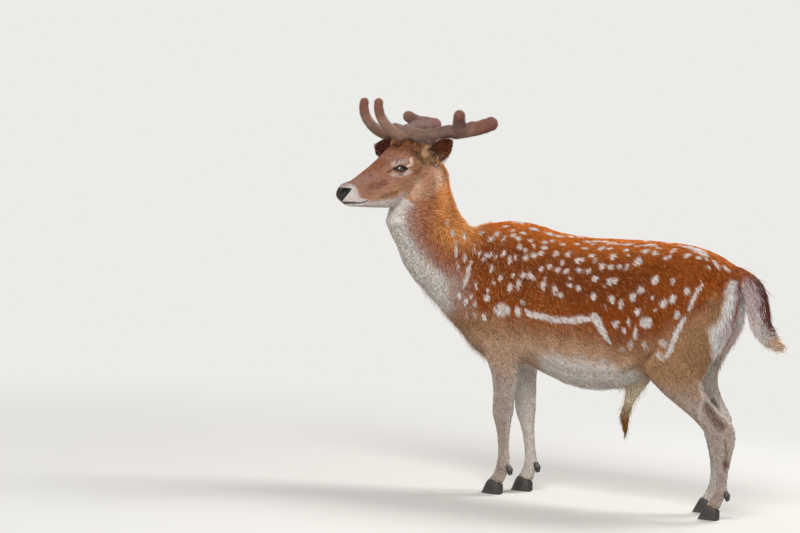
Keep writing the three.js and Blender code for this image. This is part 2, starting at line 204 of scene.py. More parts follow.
def cast(names, name, voxel, swell, balls=()):
    """One closed surface over copies of these nodes, each first grown by swell so that their gaps close,
    and over balls, each a place and three radii."""
    bpy.ops.object.select_all(action="DESELECT")
    for node in names:
        copy = bpy.data.objects.new(name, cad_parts[node].data.copy())
        bpy.context.scene.collection.objects.link(copy)
        copy.select_set(True)
    copies = list(bpy.context.selected_objects)
    for place, radii in balls:
        bpy.ops.mesh.primitive_uv_sphere_add(segments=32, ring_count=20, radius=1,
                                             location=place, scale=radii)
        copies.append(bpy.context.object)
    pick(*copies)
    if len(copies) > 1:
        bpy.ops.object.join()
    piece = bpy.context.object
    piece.name = name
    bpy.ops.object.mode_set(mode="EDIT")
    bpy.ops.mesh.select_all(action="SELECT")
    bpy.ops.mesh.remove_doubles(threshold=0.00001)
    bpy.ops.transform.shrink_fatten(value=swell)
    bpy.ops.object.mode_set(mode="OBJECT")
    piece.data.materials.clear()
    remesh = piece.modifiers.new("cast", "REMESH")
    remesh.mode = "VOXEL"
    remesh.voxel_size = voxel
    bpy.ops.object.modifier_apply(modifier=remesh.name)
    return piece


def points_of(piece):
    """A piece's points as rows."""
    values = np.empty(len(piece.data.vertices) * 3, np.float32)
    piece.data.vertices.foreach_get("co", values)
    return values.reshape(-1, 3).astype(float)


def normals_of(piece):
    """The direction in which the surface faces at each point."""
    values = np.empty(len(piece.data.vertices) * 3, np.float32)
    piece.data.vertex_normals.foreach_get("vector", values)
    return values.reshape(-1, 3).astype(float)


def triangles_of(piece, kind="vertices"):
    """A piece's triangles, each a row of three points, or of three corners on its map where kind is loops."""
    piece.data.calc_loop_triangles()
    rows = np.empty(len(piece.data.loop_triangles) * 3, np.int32)
    piece.data.loop_triangles.foreach_get(kind, rows)
    return rows.reshape(-1, 3)


def set_points(piece, points):
    """Moves a piece's points to these places."""
    piece.data.vertices.foreach_set("co", points.astype(np.float32).ravel())
    piece.data.update()


def soften(piece, rounds, share=None):
    """Takes the facets out of a surface and keeps its bulk: each round draws in and then lets out."""
    edges = np.empty(len(piece.data.edges) * 2, np.int32)
    piece.data.edges.foreach_get("vertices", edges)
    start, end = edges.reshape(-1, 2).T
    points = points_of(piece)
    count = len(points)
    shared = np.maximum(np.bincount(start, minlength=count) + np.bincount(end, minlength=count), 1)
    amount = np.ones(count) if share is None else share
    for step in [0.55, -0.57] * rounds:
        mean = np.stack([np.bincount(start, points[end, k], count) + np.bincount(end, points[start, k], count)
                         for k in range(3)], 1) / shared[:, None]
        points += (mean - points) * (step * amount)[:, None]
    set_points(piece, points)


def along_path(points, path):
    """How far each point lies from a path through the given places, and how far along it, 0 to 1."""
    path = np.asarray(path, float)
    nearest = np.full(len(points), np.inf)
    way = np.zeros(len(points))
    for i in range(len(path) - 1):
        step = path[i + 1] - path[i]
        part = np.clip((points - path[i]) @ step / (step @ step), 0, 1)
        gap = np.linalg.norm(points - path[i] - part[:, None] * step, axis=1)
        closer = gap < nearest
        nearest[closer] = gap[closer]
        way[closer] = (i + part[closer]) / (len(path) - 1)
    return nearest, way


# Under the skin, the eyeballs fill their sockets, and a bulb of gristle carries each ear.
bulbs = [(on_head(eye_at[hand])[0], (eye_radius / 1000 + 0.0012,) * 3) for hand in ("left", "right")]
for hand in ("left", "right"):
    bulb = np.array(ear_root[hand]) * 0.90 + np.array(ear_tip[hand]) * 0.10
    bulbs.append((on_head(bulb)[0], (0.0165, 0.0165, 0.0185)))
skin = cast(flesh, "skin", voxel=0.0063, swell=0.0005, balls=bulbs)
local = in_head(points_of(skin))
on_face = smooth_step(-local[:, 0], -60, 0) * smooth_step(local[:, 2], -150, -110)
soften(skin, rounds=16, share=1 - 0.7 * on_face)

# The trunk's upper and lower outlines from rump to throat, in mm from the middle plane of the body.
back_line = [(521, 0, 690), (475, 0, 760), (349, 0, 795), (161, 0, 791), (-23, 0, 789), (-164, 0, 811),
             (-274, -8, 788), (-325, -30, 798), (-365, -56, 870), (-390, -70, 952)]
belly_line = [(497, 0, 540), (406, 0, 446), (251, 0, 373), (71, 0, 335), (-89, 0, 382), (-231, -2, 395),
              (-361, -26, 514), (-472, -85, 636), (-527, -146, 768), (-491, -150, 868)]


def height_on_body(points):
    """0 on the belly and throat, 1 on the back and nape."""
    low, _ = along_path(points - [0, midline, 0], np.array(belly_line) / 1000)
    high, _ = along_path(points - [0, midline, 0], np.array(back_line) / 1000)
    return low / (low + high)


# Bones, muscles and hollows under the hide: a path in mm from the middle plane (outwards counts as
# positive), the half breadth of the form, and how far it stands out or sinks in.
body_forms = [
    ([(-150, 78, 772), (-206, 92, 650), (-258, 84, 545)], 20, 5),  # spine of the shoulder blade
    ([(-84, 100, 730), (-88, 122, 610), (-74, 108, 490)], 24, -5),  # behind the shoulder
    ([(-150, 96, 610), (-135, 96, 530)], 42, 5),  # triceps
    ([(-90, 80, 432), (-92, 78, 418)], 17, 5),  # point of the elbow
    ([(-232, 70, 470), (-206, 78, 380)], 16, 3),  # forearm
    ([(248, 105, 716), (262, 112, 640)], 40, -7),  # hollow of the flank
    ([(292, 78, 752), (306, 84, 738)], 22, 5),  # hip bone
    ([(196, 104, 404), (250, 112, 442), (292, 104, 490)], 17, 5),  # fold of the flank
    ([(282, 96, 500), (292, 94, 470)], 24, 4),  # stifle
    ([(340, 104, 640), (330, 108, 560)], 48, 4),  # front of the thigh
    ([(438, 84, 700), (448, 96, 610), (430, 98, 520), (402, 94, 452)], 13, -4),  # groove of the ham
    ([(488, 42, 706), (494, 44, 690)], 20, 2),  # point of the buttock
    ([(-126, 62, 788), (-134, 84, 748)], 12, 4),  # top of the shoulder blade
    ([(512, 0, 690), (503, 0, 620), (492, 0, 570)], 14, -5),  # cleft under the tail
]
# On the legs, outwards is from the leg's own middle, and a form shows on its inner face too.
leg_forms = {
    "fore": [
        ([(-136, 20, 196), (-130, 18, 110)], 5, -2.5),  # between the bone and the tendon
        ([(-176, 16, 262), (-170, 18, 236)], 10, 2),  # bones of the knee
        ([(-112, 12, 262), (-112, 10, 248)], 9, 2.5),  # back of the knee
        ([(-130, 20, 92), (-132, 18, 84)], 11, 2),  # fetlock
        ([(-184, 28, 400), (-150, 30, 300)], 8, -2.5),  # between the forearm's muscles
        ([(-158, 0, 62), (-166, 0, 46)], 5, -3),  # between the toes
    ],
    "hind": [
        ([(468, 22, 346), (484, 24, 318)], 9, -6),  # hollow before the tendon of the heel
        ([(490, 24, 306), (518, 22, 276)], 15, -8),
        ([(462, 14, 352), (504, 4, 320), (546, 0, 286)], 6, 2),  # tendon of the heel
        ([(440, 26, 400), (457, 28, 352), (450, 30, 312)], 9, 3),  # rear edge of the calf muscle
        ([(544, 0, 288), (554, 0, 268)], 10, 2.5),  # point of the hock
        ([(505, 22, 258), (522, 22, 242), (521, 20, 214)], 8, 3.5),  # bones of the hock
        ([(533, 20, 240), (541, 18, 204), (538, 16, 120)], 5, -3.5),  # between the bone and the tendon
        ([(541, 16, 174), (543, 16, 168)], 9, 2),  # gland of the cannon
        ([(528, 20, 92), (524, 18, 84)], 11, 2),  # fetlock
        ([(500, 0, 62), (490, 0, 46)], 5, -3),  # between the toes
    ],
}
# In the head's own frame.
head_forms = [
    ([(-128, 40, -44), (-84, 60, -52), (-30, 60, -40)], 9, 3),  # cheek bone
    ([(-70, 58, -84), (-34, 56, -78)], 22, 3),  # cheek muscle
    ([(-190, 26, -28), (-140, 40, -34)], 12, -2),  # above the cheek teeth
    ([(-214, 24, 16), (-150, 24, 22)], 9, -1.5),  # beside the nose bone
    ([(-60, 0, 42), (-30, 0, 42)], 14, 2),  # middle of the brow
    ([(-266, 16, -30), (-248, 18, -42)], 9, 1.5),  # lower lip
    ([(-280, 0, 14), (-264, 0, 30), (-246, 0, 34)], 18, 8.5),  # round end of the nose
]


def on_leg(points, leg):
    """Which points belong to a leg, and those points as they would lie on the left leg of its pair, with
    their distance from the leg's own middle for y."""
    end = leg.split("_")[0]
    low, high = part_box(f"{leg}_lower")
    middle = (low.y + high.y) / 2
    x, y, z = points.T
    near = (np.abs(y - middle) < 0.06) & (z < 0.46) & ((x < 0.15) if end == "fore" else (x > 0.35))
    own = points[near].copy()
    shift = low.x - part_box(f"{end}_left_lower")[0].x
    high_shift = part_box(f"{leg}_upper")[0].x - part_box(f"{end}_left_upper")[0].x
    own[:, 0] -= shift + (high_shift - shift) * smooth_step(own[:, 2], 0.24, 0.40)
    own[:, 1] = np.abs(own[:, 1] - middle)
    return near, own * 1000


def swelling(points, path, breadth):
    """1 on a path, and less and less away from it, within about its half breadth."""
    gap, _ = along_path(points, path)
    return np.exp(-(gap / breadth) ** 2)


def raise_forms(points):
    """How far the surface stands out over the forms at each point, in metres."""
    rise = np.zeros(len(points))
    x, y, z = points.T
    folded = np.stack([x, np.abs(y - midline), z], 1) * 1000
    behind_neck = smooth_step(x, -0.31, -0.25)
    for path, breadth, amount in body_forms:
        rise += amount / 1000 * swelling(folded, path, breadth) * behind_neck
    for leg in legs:
        near, own = on_leg(points, leg)
        for path, breadth, amount in leg_forms[leg.split("_")[0]]:
            rise[near] += amount / 1000 * swelling(own, path, breadth)
    # The windpipe stands out along the throat, with a groove behind it and the long muscle of the neck.
    height = height_on_body(points)
    on_neck = smooth_step(-x, 0.29, 0.36) * smooth_step(z, 0.56, 0.66) * (1 - smooth_step(z, 0.86, 0.93))
    for level, spread, amount in [(0.10, 0.10, 0.003), (0.33, 0.07, -0.004), (0.55, 0.12, 0.003)]:
        rise += on_neck * amount * np.exp(-((height - level) / spread) ** 2)
    face = folded_head(points)
    near = np.linalg.norm(face - [-120, 20, -30], axis=1) < 220
    for path, breadth, amount in head_forms:
        rise[near] += amount / 1000 * swelling(face[near], path, breadth)
    return rise


def coat_length(points):
    """Length of the hair in mm: shortest on the nose and feet, longest on the nape, rump and belly."""
    x, _, z = points.T
    hx, _, hz = in_head(points).T
    length = 10 + 4 * smooth_step(z, 0.38, 0.56) - 2.5 * (1 - smooth_step(z, 0.22, 0.36))
    length += 6 * smooth_step(-x, 0.24, 0.32) * smooth_step(height_on_body(points), 0.70, 0.92)
    face = smooth_step(-hx, -46, -10) * smooth_step(hz, -150, -118)
    return length * (1 - face) + (4 + 5 * smooth_step(hx, -235, -60)) * face


points = points_of(skin)
depth = coat_length(points) / 1000 * sunk_share
set_points(skin, points + normals_of(skin) * (raise_forms(points) - depth)[:, None])

# The face is modelled more finely than the body, and the lids, nostrils and lips more finely still.
finer = [([(-104, 50, -6), (-68, 56, -28)], 27), ([(-281, 4, 14), (-258, 12, 18)], 15),
         ([(-286, 8, 6), (-262, 22, 0), (-236, 26, -34), (-212, 26, -49)], 19)]
for level in range(2):
    face = folded_head(points_of(skin))
    if level == 0:
        chosen = (face > [-320, -1, -128]).all(1) & (face < [48, 110, 80]).all(1)
    else:
        chosen = np.any([along_path(face, path)[0] < reach for path, reach in finer], axis=0)
    bpy.ops.object.mode_set(mode="EDIT")
    bpy.ops.mesh.select_mode(type="VERT")
    bpy.ops.mesh.select_all(action="DESELECT")
    bpy.ops.object.mode_set(mode="OBJECT")
    skin.data.vertices.foreach_set("select", chosen)
    bpy.ops.object.mode_set(mode="EDIT")
    bpy.ops.mesh.select_mode(type="FACE")
    bpy.ops.mesh.subdivide(number_cuts=1, smoothness=0.0)
    bpy.ops.mesh.select_all(action="DESELECT")
    bpy.ops.object.mode_set(mode="OBJECT")
    local = in_head(points_of(skin))
    soften(skin, rounds=3, share=smooth_step(-local[:, 0], -50, -30) * (local[:, 2] > -140))

# Each lid is drawn over the eyeball: the skin round the eye is laid on a slightly larger ball, and the
# almond between the lids is sunk behind it. The eye is half closed against the light.
eye_front = np.array([-105, 0, -5])
eye_rear = np.array([-70, 0, -27])
eye_way = unit(eye_rear - eye_front)
eye_up = np.array([-eye_way[2], 0, eye_way[0]])
eye_half = np.linalg.norm(eye_rear - eye_front) / 2
upper_lid, lower_lid = 8.4, 7.0


def lid_gap(face):
    """For points of the folded head: how far along the eye, how far above its middle, how far outside it."""
    offset = face - (eye_front + eye_rear) / 2
    way = offset @ eye_way / eye_half
    rise = offset @ eye_up
    arch = np.clip(1 - way ** 2, 0, 1)
    return way, rise, np.maximum(rise - upper_lid * arch, -rise - lower_lid * arch)


points = points_of(skin)
hand = np.where(in_head(points)[:, 1] < 0, -1.0, 1.0)
face = folded_head(points)
from_ball = face - eye_at["right"]
reach = np.linalg.norm(from_ball, axis=1)
from_ball /= np.maximum(reach, 1)[:, None]
way, rise, outside = lid_gap(face)
socket = (reach < 34) & (face[:, 1] > 36)
near_eye = np.where(socket, 1 - smooth_step(reach, 19, 30), 0)
lid_radius = eye_radius + 1.9 + 0.8 * np.exp(-((outside - 1.6) / 1.6) ** 2)
on_lid = eye_at["right"] + from_ball * lid_radius[:, None]
face += (on_lid - face) * (near_eye * smooth_step(-reach, -30, -19))[:, None]
open_eye = socket & (outside < 0) & (np.abs(way) < 1)
face -= from_ball * (np.clip(-outside / 1.2, 0, 1) * open_eye * 7.0)[:, None]
crease = np.exp(-((rise - 13 + 5 * way ** 2) / 1.3) ** 2) * (np.abs(way) < 1.1) * near_eye
face[:, 1] -= crease * 1.5

# The line of the lips, the comma of the nostril and the scent gland before the eye are grooves, each a path
# of x and z.
mouth = [(-284, -7), (-271, -15), (-256, -26), (-238, -39), (-222, -46), (-213, -45)]
nostril = [(-270, 20), (-259, 22), (-248, 17), (-254, 10)]
gland = [(-104, -5), (-124, -4)]
outward = folded_head(points + normals_of(skin) * 0.001) - folded_head(points)
for path, breadth, depth in [(mouth, 2.2, 3.2), (nostril, 3.6, 6.0), (gland, 2.2, 3.5)]:
    shown = smooth_step(face[:, 1], 2, 7) * (np.linalg.norm(face - [-190, 25, -10], axis=1) < 130)
    face -= outward * (shown * depth * swelling(face[:, [0, 2]], path, breadth))[:, None]
face[:, 1] *= hand
near_head = np.linalg.norm(face - [-120, 0, -30], axis=1) < 230
points[near_head] = on_head(face[near_head])
set_points(skin, points)

# ---------------------------------------------------------------- ears
# Two leaf-shaped cups of gristle under thin skin, carried on the bulbs above. They are cast finely, for
# their thin edge, and joined to the hide, so that one surface runs on from the head.

for hand in ("left", "right"):
    ear = cast([f"ear_{hand}"], f"ear_{hand}", voxel=0.0017, swell=0.0002)
    soften(ear, rounds=5)
    pick(skin, ear)
    bpy.ops.object.join()
bpy.ops.object.shade_smooth()
flesh += ["ear_left", "ear_right"]


def near_ear(local, gap):
    """Which points of the head lie round an ear, where gap is how far they are from its middle line."""
    return (gap < 48) & (np.abs(local[:, 1]) > 52) & (local[:, 0] > -80)


# The far ear is a broad leaf that opens forward: it is spread, its cup bent the other way, and it is twisted.
local = in_head(points_of(skin))
root = np.array(ear_root["right"])
ear_way = ear_tip["right"] - root
opening = unit(np.array(ear_open["right"]))
broad = unit(np.cross(unit(ear_way), opening))
_, part = along_path(local, [root, ear_tip["right"]])
gap = np.linalg.norm(np.cross(local - root, unit(ear_way)), axis=1)
own = near_ear(local, gap) & (part > ear_start)
middle = root + part[:, None] * ear_way
beside = (local - middle) @ broad
low_ear = smooth_step(part, 0.2, 0.45) * own
spread = beside * (0.35 * low_ear + 0.7 * smooth_step(part, 0.6, 0.95) * own)
offset = local - middle + spread[:, None] * broad
deep = own & (part > 0.35)
bend, _ = np.polyfit(beside[deep] ** 2, (offset @ opening)[deep], 1)
offset -= (2 * bend * beside ** 2 * low_ear)[:, None] * opening
twist = math.radians(-44) * low_ear
offset = offset * np.cos(twist)[:, None] + np.cross(unit(ear_way), offset) * np.sin(twist)[:, None]
set_points(skin, on_head(np.where(own[:, None], middle + offset, local)))

# ---------------------------------------------------------------- markings
# The summer coat's colours, worked out from where a point lies on the animal: rust on the back, tan below,
# white on the belly, throat and rump, and rows of white spots. Hide and hair are both painted with them.

colours = {}
chance = np.random.default_rng(7)


def name_colours(**codes):
    """Gives each of these colours its name, for mix."""
    colours.update({name: np.array(linear(code)) for name, code in codes.items()})


def mix(first, second, share):
    """Blends two colours, each a name or a row for each point. The share is how much of the second."""
    first, second = (colours[colour] if isinstance(colour, str) else colour for colour in (first, second))
    return first + (second - first) * np.reshape(share, (-1, 1))


name_colours(
    orange="#c36c2a", russet="#914816", dusk="#7c3e17", tan="#a97e5e", sand="#bd997d", white="#dcd3cb",
    spot="#e2d8d3", leg="#b0a096", leg_pale="#d0c4bb", thigh="#a7805d", pink="#b69486", neck="#a5674a",
    nape="#df9450", nape_edge="#d99f6c", cheek="#ba8b6d", face="#a3745f", lilac="#9a7773", bridge="#905e41",
    face_rust="#7f5241", band="#84603c", jaw_pink="#b58c74", brow="#99695a", crown="#84502f",
    temple="#67422b", ear_base="#6f563c", brow_pale="#c9b6b0", brow_tuft="#f0d3bc", under_ear="#a18a84",
    throat_pale="#e0bfa6", muzzle="#d6ccc6", nose_top="#a9989a", black="#17110f", nostril="#0a0707",
    nose_grey="#3a3333", lid="#1f1310", wrinkle="#4c352e", ear_out="#7f6751", ear_in="#4c170c",
    ear_rim="#dfd0c4", tail_top="#9c5226", tail_dark="#5a3a36", tail_stripe="#5f2a1c", tail_tip="#cba57e",
    rump_stripe="#b0604d", rump_pink="#d2a396", rump="#ece4df", rump_lilac="#b9a9b0", tail_lilac="#c3a9ae",
    sheath="#d2c2a6", sheath_mid="#96662f", sheath_tip="#3f2817", gland="#84543f", hollow="#755f52",
)

# The white spots of one flank, as x and z in mm, half the length and breadth, and the slant in degrees from
# level. They run in rows from the spine down, and stand upright in front and lean back over the haunch.
flank_spots = [
    # the broken line beside the spine
    (-166, 805, 16, 6, 0), (-116, 793, 16, 6, -6), (-67, 786, 14, 6, -8), (-36, 781, 13, 5, -6),
    (-8, 782, 10, 5, 0), (20, 781, 9, 4, 0), (52, 773, 11, 4, 5), (74, 775, 12, 5, 5), (101, 777, 12, 5, 3),
    (134, 776, 12, 5, 3), (178, 778, 13, 5, 3), (154, 787, 9, 4, 0), (221, 789, 9, 4, 0),
    (245, 783, 13, 6, 0), (289, 792, 12, 5, 0),
    # the row under it
    (-201, 792, 9, 4, 10), (-178, 783, 7, 5, 0), (-143, 780, 10, 6, 0), (-171, 770, 8, 6, 0),
    (-153, 764, 7, 8, 60), (-113, 762, 7, 5, 0), (-101, 749, 5, 5, 0), (-71, 762, 8, 5, 10),
    (-50, 767, 7, 6, 0), (-17, 760, 7, 5, 0), (24, 764, 7, 5, 0), (69, 767, 7, 4, 0), (118, 774, 8, 4, 10),
    (145, 775, 11, 4, 10), (168, 776, 8, 4, 15), (200, 775, 8, 4, 15), (227, 780, 12, 4, 10),
    (266, 778, 9, 4, 0), (314, 775, 12, 5, 65), (301, 755, 12, 6, 45), (358, 766, 12, 7, 60),
    (391, 763, 8, 7, 0), (415, 761, 7, 6, 0), (428, 740, 6, 4, 120),
    # the upper flank
    (-340, 766, 10, 8, 70), (-358, 795, 10, 5, 80), (-312, 757, 12, 6, 75), (-272, 767, 8, 7, 0),
    (-220, 771, 9, 6, 50), (-234, 756, 11, 7, 40), (-197, 760, 10, 5, 65), (-143, 742, 8, 7, 80),
    (-124, 734, 6, 6, 0), (-67, 746, 10, 6, 20), (-30, 733, 12, 8, 75), (6, 734, 13, 6, 68),
    (51, 755, 8, 5, 10), (77, 737, 9, 6, 60), (40, 720, 12, 9, 65), (52, 724, 7, 7, 0),
    (99, 759, 11, 7, 60), (124, 761, 8, 5, 20), (142, 741, 10, 8, 70), (175, 762, 8, 6, 60),
    (183, 749, 5, 5, 0), (218, 736, 15, 10, 75), (232, 765, 12, 7, 35), (264, 764, 9, 8, 0),
    (90, 725, 9, 4, 85),
    # along the middle of the shoulder and flank
    (-298, 696, 11, 6, 85), (-277, 721, 10, 3, 85), (-259, 711, 8, 5, 70), (-237, 709, 9, 6, 20),
    (-225, 712, 9, 5, 75), (-243, 695, 6, 5, 0), (-185, 718, 10, 6, 75), (-163, 703, 11, 6, 80),
    (-148, 712, 7, 5, 85), (-207, 708, 8, 4, 80), (-118, 713, 10, 7, 80), (-97, 722, 9, 8, 45),
    (-74, 729, 8, 7, 0), (-5, 710, 8, 6, 75), (-42, 695, 8, 7, 0), (-64, 686, 8, 7, 60),
    (-14, 689, 9, 7, 70), (12, 687, 10, 7, 75), (49, 694, 8, 8, 0), (78, 693, 11, 7, 75),
    (115, 711, 12, 8, 75), (142, 712, 9, 8, 40), (167, 716, 8, 7, 30), (189, 717, 12, 4, 75),
    (102, 674, 10, 8, 100), (147, 672, 11, 8, 70), (161, 675, 10, 7, 80), (135, 657, 5, 4, 0),
    (279, 689, 14, 10, 65), (334, 691, 9, 6, 75),
    # the lower rows
    (-213, 672, 11, 6, 85), (-183, 648, 9, 7, 90), (-147, 660, 8, 6, 80), (-117, 663, 10, 7, 80),
    (-92, 661, 15, 8, 145), (-202, 632, 8, 4, 80), (-149, 624, 14, 7, 90), (-126, 635, 14, 6, 85),
    (-49, 640, 14, 8, 90), (-13, 630, 13, 8, 95), (7, 616, 8, 7, 110), (28, 667, 5, 5, 0),
    (30, 648, 8, 6, 0), (57, 644, 8, 8, 0), (-48, 663, 5, 4, 0), (106, 625, 11, 7, 90),
    (161, 622, 12, 8, 100), (144, 598, 7, 3, 120), (190, 611, 13, 7, 85), (221, 634, 14, 8, 75),
    (240, 656, 13, 8, 60), (281, 637, 6, 6, 0), (317, 626, 14, 11, 75), (341, 642, 13, 9, 60),
    (379, 669, 12, 8, 80),
    # the large spots of shoulder and haunch
    (-165, 555, 26, 19, 0), (-116, 555, 16, 9, 110), (-106, 584, 8, 5, 100), (-303, 584, 11, 6, 88),
    (-266, 586, 8, 5, 100), (-280, 567, 13, 6, 85), (-251, 564, 12, 4, 80), (-216, 585, 10, 9, 90),
    (-217, 608, 7, 4, 80), (-253, 617, 12, 4, 105), (-324, 717, 27, 5, 92), (-312, 669, 9, 4, 95),
    (-219, 526, 11, 7, 120), (242, 593, 13, 7, 70), (182, 551, 12, 9, 75), (219, 561, 11, 5, 75),
    (271, 566, 19, 17, 20), (207, 534, 7, 6, 60), (242, 532, 19, 6, 90), (359, 598, 13, 9, 75),
    # pale marks over the tail root
    (446, 750, 20, 6, 122), (475, 741, 13, 7, 118),
]
faint_spots = [
    (-276, 527, 8, 5, 90), (-250, 533, 9, 5, 90), (229, 495, 17, 8, 85), (205, 479, 8, 7, 0),
    (271, 499, 12, 9, 120), (327, 509, 15, 12, 160), (322, 470, 18, 11, 150), (294, 605, 6, 5, 0),
]
# The lines of one flank, as x, z and half the breadth: down the shoulder, beside the spine, along the lower
# flank, and down the haunch.
flank_lines = [
    [(-278, 693, 3), (-281, 665, 5), (-283, 641, 6), (-290, 611, 4)],
    [(316, 795, 4), (346, 790, 5), (379, 782, 5), (401, 774, 5), (415, 769, 3)],
    [(-93, 560, 6), (-78, 551, 9), (-56, 551, 8), (-28, 548, 9), (-1, 545, 8), (24, 546, 8.5), (50, 548, 9),
     (74, 554, 12), (89, 556, 8), (97, 557, 4)],
    [(101, 559, 7), (114, 565, 12), (124, 557, 13), (135, 542, 11), (148, 521, 8), (160, 505, 6),
     (170, 492, 3)],
    [(421, 693, 4), (411, 673, 5), (403, 650, 6), (395, 617, 5)],
    [(384, 593, 5), (373, 567, 7), (364, 543, 8), (355, 517, 8), (348, 490, 8), (339, 471, 5)],
]

# Each spot is laid on the hide as a leaning oval; the other flank has like rows, a little apart from these.
skin_points = points_of(skin)
surface = BVHTree.FromPolygons([Vector(p) for p in skin_points], triangles_of(skin).tolist())
spots = []          # place, way of the slant, half length and half breadth in metres, strength
for side in (-1, 1):
    for table, strength in ((flank_spots, 1.0), (faint_spots, 0.55)):
        for x, z, length, breadth, slant in table:
            if side > 0:
                x, z = x + chance.normal() * 6, z + chance.normal() * (2 if z > 765 else 6)
                size = chance.uniform(0.85, 1.15)
                length, breadth, slant = length * size, breadth * size, slant + chance.normal() * 8
            start = Vector((x / 1000, side * 0.6, z / 1000))
            hit, faced, _, _ = surface.ray_cast(start, Vector((0, -side, 0)))
            if hit is not None and (hit.y - midline) * side > -0.01:
                way = Vector((math.cos(math.radians(slant)), 0, math.sin(math.radians(slant))))
                way = (way - faced * way.dot(faced)).normalized()
                spots.append((np.array(hit), np.array(way), length / 1000, breadth / 1000, strength))


def white_marks(points):
    """How far each point lies in a white mark, 0 to 1."""
    shade = np.zeros(len(points))
    x, y, z = points.T
    ragged = chance.normal(0, 0.0010, len(points))
    order = np.argsort(x)
    sorted_x = x[order]
    widest = 0.032
    for place, way, length, breadth, strength in spots:
        first, last = np.searchsorted(sorted_x, [place[0] - widest, place[0] + widest])
        near = order[first:last]
        near = near[(np.abs(z[near] - place[2]) < widest) & (np.abs(y[near] - place[1]) < 0.04)]
        offset = points[near] - place
        part = offset @ way
        rest = np.sqrt(np.maximum((offset ** 2).sum(1) - part ** 2, 0))
        reach = np.hypot(part / length, rest / breadth) + ragged[near] / breadth
        shade[near] = np.maximum(shade[near], strength * (1 - smooth_step(reach, 0.80, 1.18)))
    flat = points[:, [0, 2]]
    for line in flank_lines:
        line = np.array(line) / 1000
        near = ((flat > line[:, :2].min(0) - 0.02) & (flat < line[:, :2].max(0) + 0.02)).all(1)
        near &= np.abs(y - midline) > 0.012
        gap, way = along_path(flat[near], line[:, :2])
        reach = (gap + ragged[near]) / np.interp(way, np.linspace(0, 1, len(line)), line[:, 2])
        shade[near] = np.maximum(shade[near], 1 - smooth_step(reach, 0.78, 1.25))
    return shade


def ear_side(local, hand):
    """On which side of an ear's middle line each point of the head lies."""
    across = np.cross(np.array(ear_tip[hand]) - ear_root[hand], ear_open[hand])
    return (local - ear_root[hand]) @ across > 0


# Half the breadth of each side of each ear, at stations from its root to its tip.
ear_stations = np.linspace(0.2, 1, 9)
ear_faces = {"left": ear_open["left"], "right": (-0.175, -0.564, 0.807)}
ear_breadths = {}
local = in_head(skin_points)
for hand in ("left", "right"):
    gap, part = along_path(local, [ear_root[hand], ear_tip[hand]])
    own = near_ear(local, gap) & (local[:, 1] * ear_root[hand][1] > 0)
    for side in (False, True):
        half = own & (ear_side(local, hand) == side)
        ear_breadths[hand, side] = [gap[half & (np.abs(part - station) < 0.07)].max()
                                    for station in ear_stations]


def on_ear(local):
    """Whether each point of the head is on an ear, how far along it, the way it opens, how near its edge."""
    belongs = np.zeros(len(local), bool)
    way, edge, opens = np.zeros(len(local)), np.zeros(len(local)), np.zeros((len(local), 3))
    for hand in ("left", "right"):
        gap, part = along_path(local, [ear_root[hand], ear_tip[hand]])
        here = near_ear(local, gap) & (part > ear_start)
        belongs |= here
        way[here] = part[here]
        opens[here] = ear_faces[hand]
        for side in (False, True):
            half = here & (ear_side(local, hand) == side)
            edge[half] = gap[half] / np.interp(part[half], ear_stations, ear_breadths[hand, side])
    return belongs, way, opens, edge


# Marks of the head, seen from its side in its own frame: colour, strength, a path of x and z in mm, how far
# it reaches and how softly it ends.
face_marks = [
    ("bridge", 0.8, [(-172, 30), (-134, 24), (-112, 28)], 8, 11),
    ("lilac", 0.5, [(-238, 26), (-202, 16), (-168, 8)], 7, 10),
    ("brow", 0.8, [(-104, 28), (-70, 30)], 7, 9), ("crown", 0.9, [(-48, 40), (-20, 30), (0, 14)], 13, 12),
    ("temple", 0.85, [(-34, 14), (-24, -6), (-14, -22)], 7, 12),
    ("face_rust", 0.65, [(-188, -12), (-170, -20), (-150, -26)], 4, 10),
    ("bridge", 0.6, [(-58, -30), (-46, -48), (-62, -60)], 9, 12),
    ("ear_base", 0.85, [(-14, -34), (6, -52)], 10, 10),
    ("jaw_pink", 0.6, [(-204, -46), (-180, -60), (-150, -76)], 5, 8),
    # A painted shadow along the lower edge of the cheek, above the pale jaw.
    ("band", 0.7, [(-174, -59), (-152, -63), (-131, -72)], 2.5, 7),
    ("brow_pale", 0.75, [(-98, 6), (-80, 5), (-66, -4)], 4, 6),
    # The wrinkle marks are dark lines and dots along folds of the lids and face: painted shade in the
    # creases.
    ("wrinkle", 0.75, [(-88, 11), (-79, 11), (-71, 6)], 0.6, 2.0),
    ("wrinkle", 0.6, [(-96, 6), (-84, 6), (-74, 1)], 0.4, 1.6),
    ("brow_pale", 0.75, [(-119, -17), (-105, -28), (-86, -36), (-72, -36)], 2.0, 7),
    ("wrinkle", 0.7, [(-104, -28), (-98, -30)], 0.8, 2.0),
    ("brow_tuft", 1.0, [(-50, -10), (-57, -21), (-66, -23)], 3.5, 4),
    ("under_ear", 0.8, [(3, -74), (12, -86)], 6, 7),
    ("throat_pale", 0.7, [(6, -94), (-8, -112), (-26, -132)], 7, 12),
    ("throat_pale", 0.5, [(-62, -78), (-78, -96), (-92, -112)], 5, 14),
    ("muzzle", 0.55, [(-116, -92), (-126, -88)], 4, 12),
    ("wrinkle", 0.7, [(-136, -44), (-130, -50)], 0.5, 1.6),
    ("wrinkle", 0.6, [(-173, 12), (-168, 14)], 1.2, 2.5),
    ("wrinkle", 0.6, [(-232, 33), (-228, 35)], 1.0, 2.5),
    ("wrinkle", 0.5, [(-122, 20), (-118, 22)], 1.0, 2.5),
]
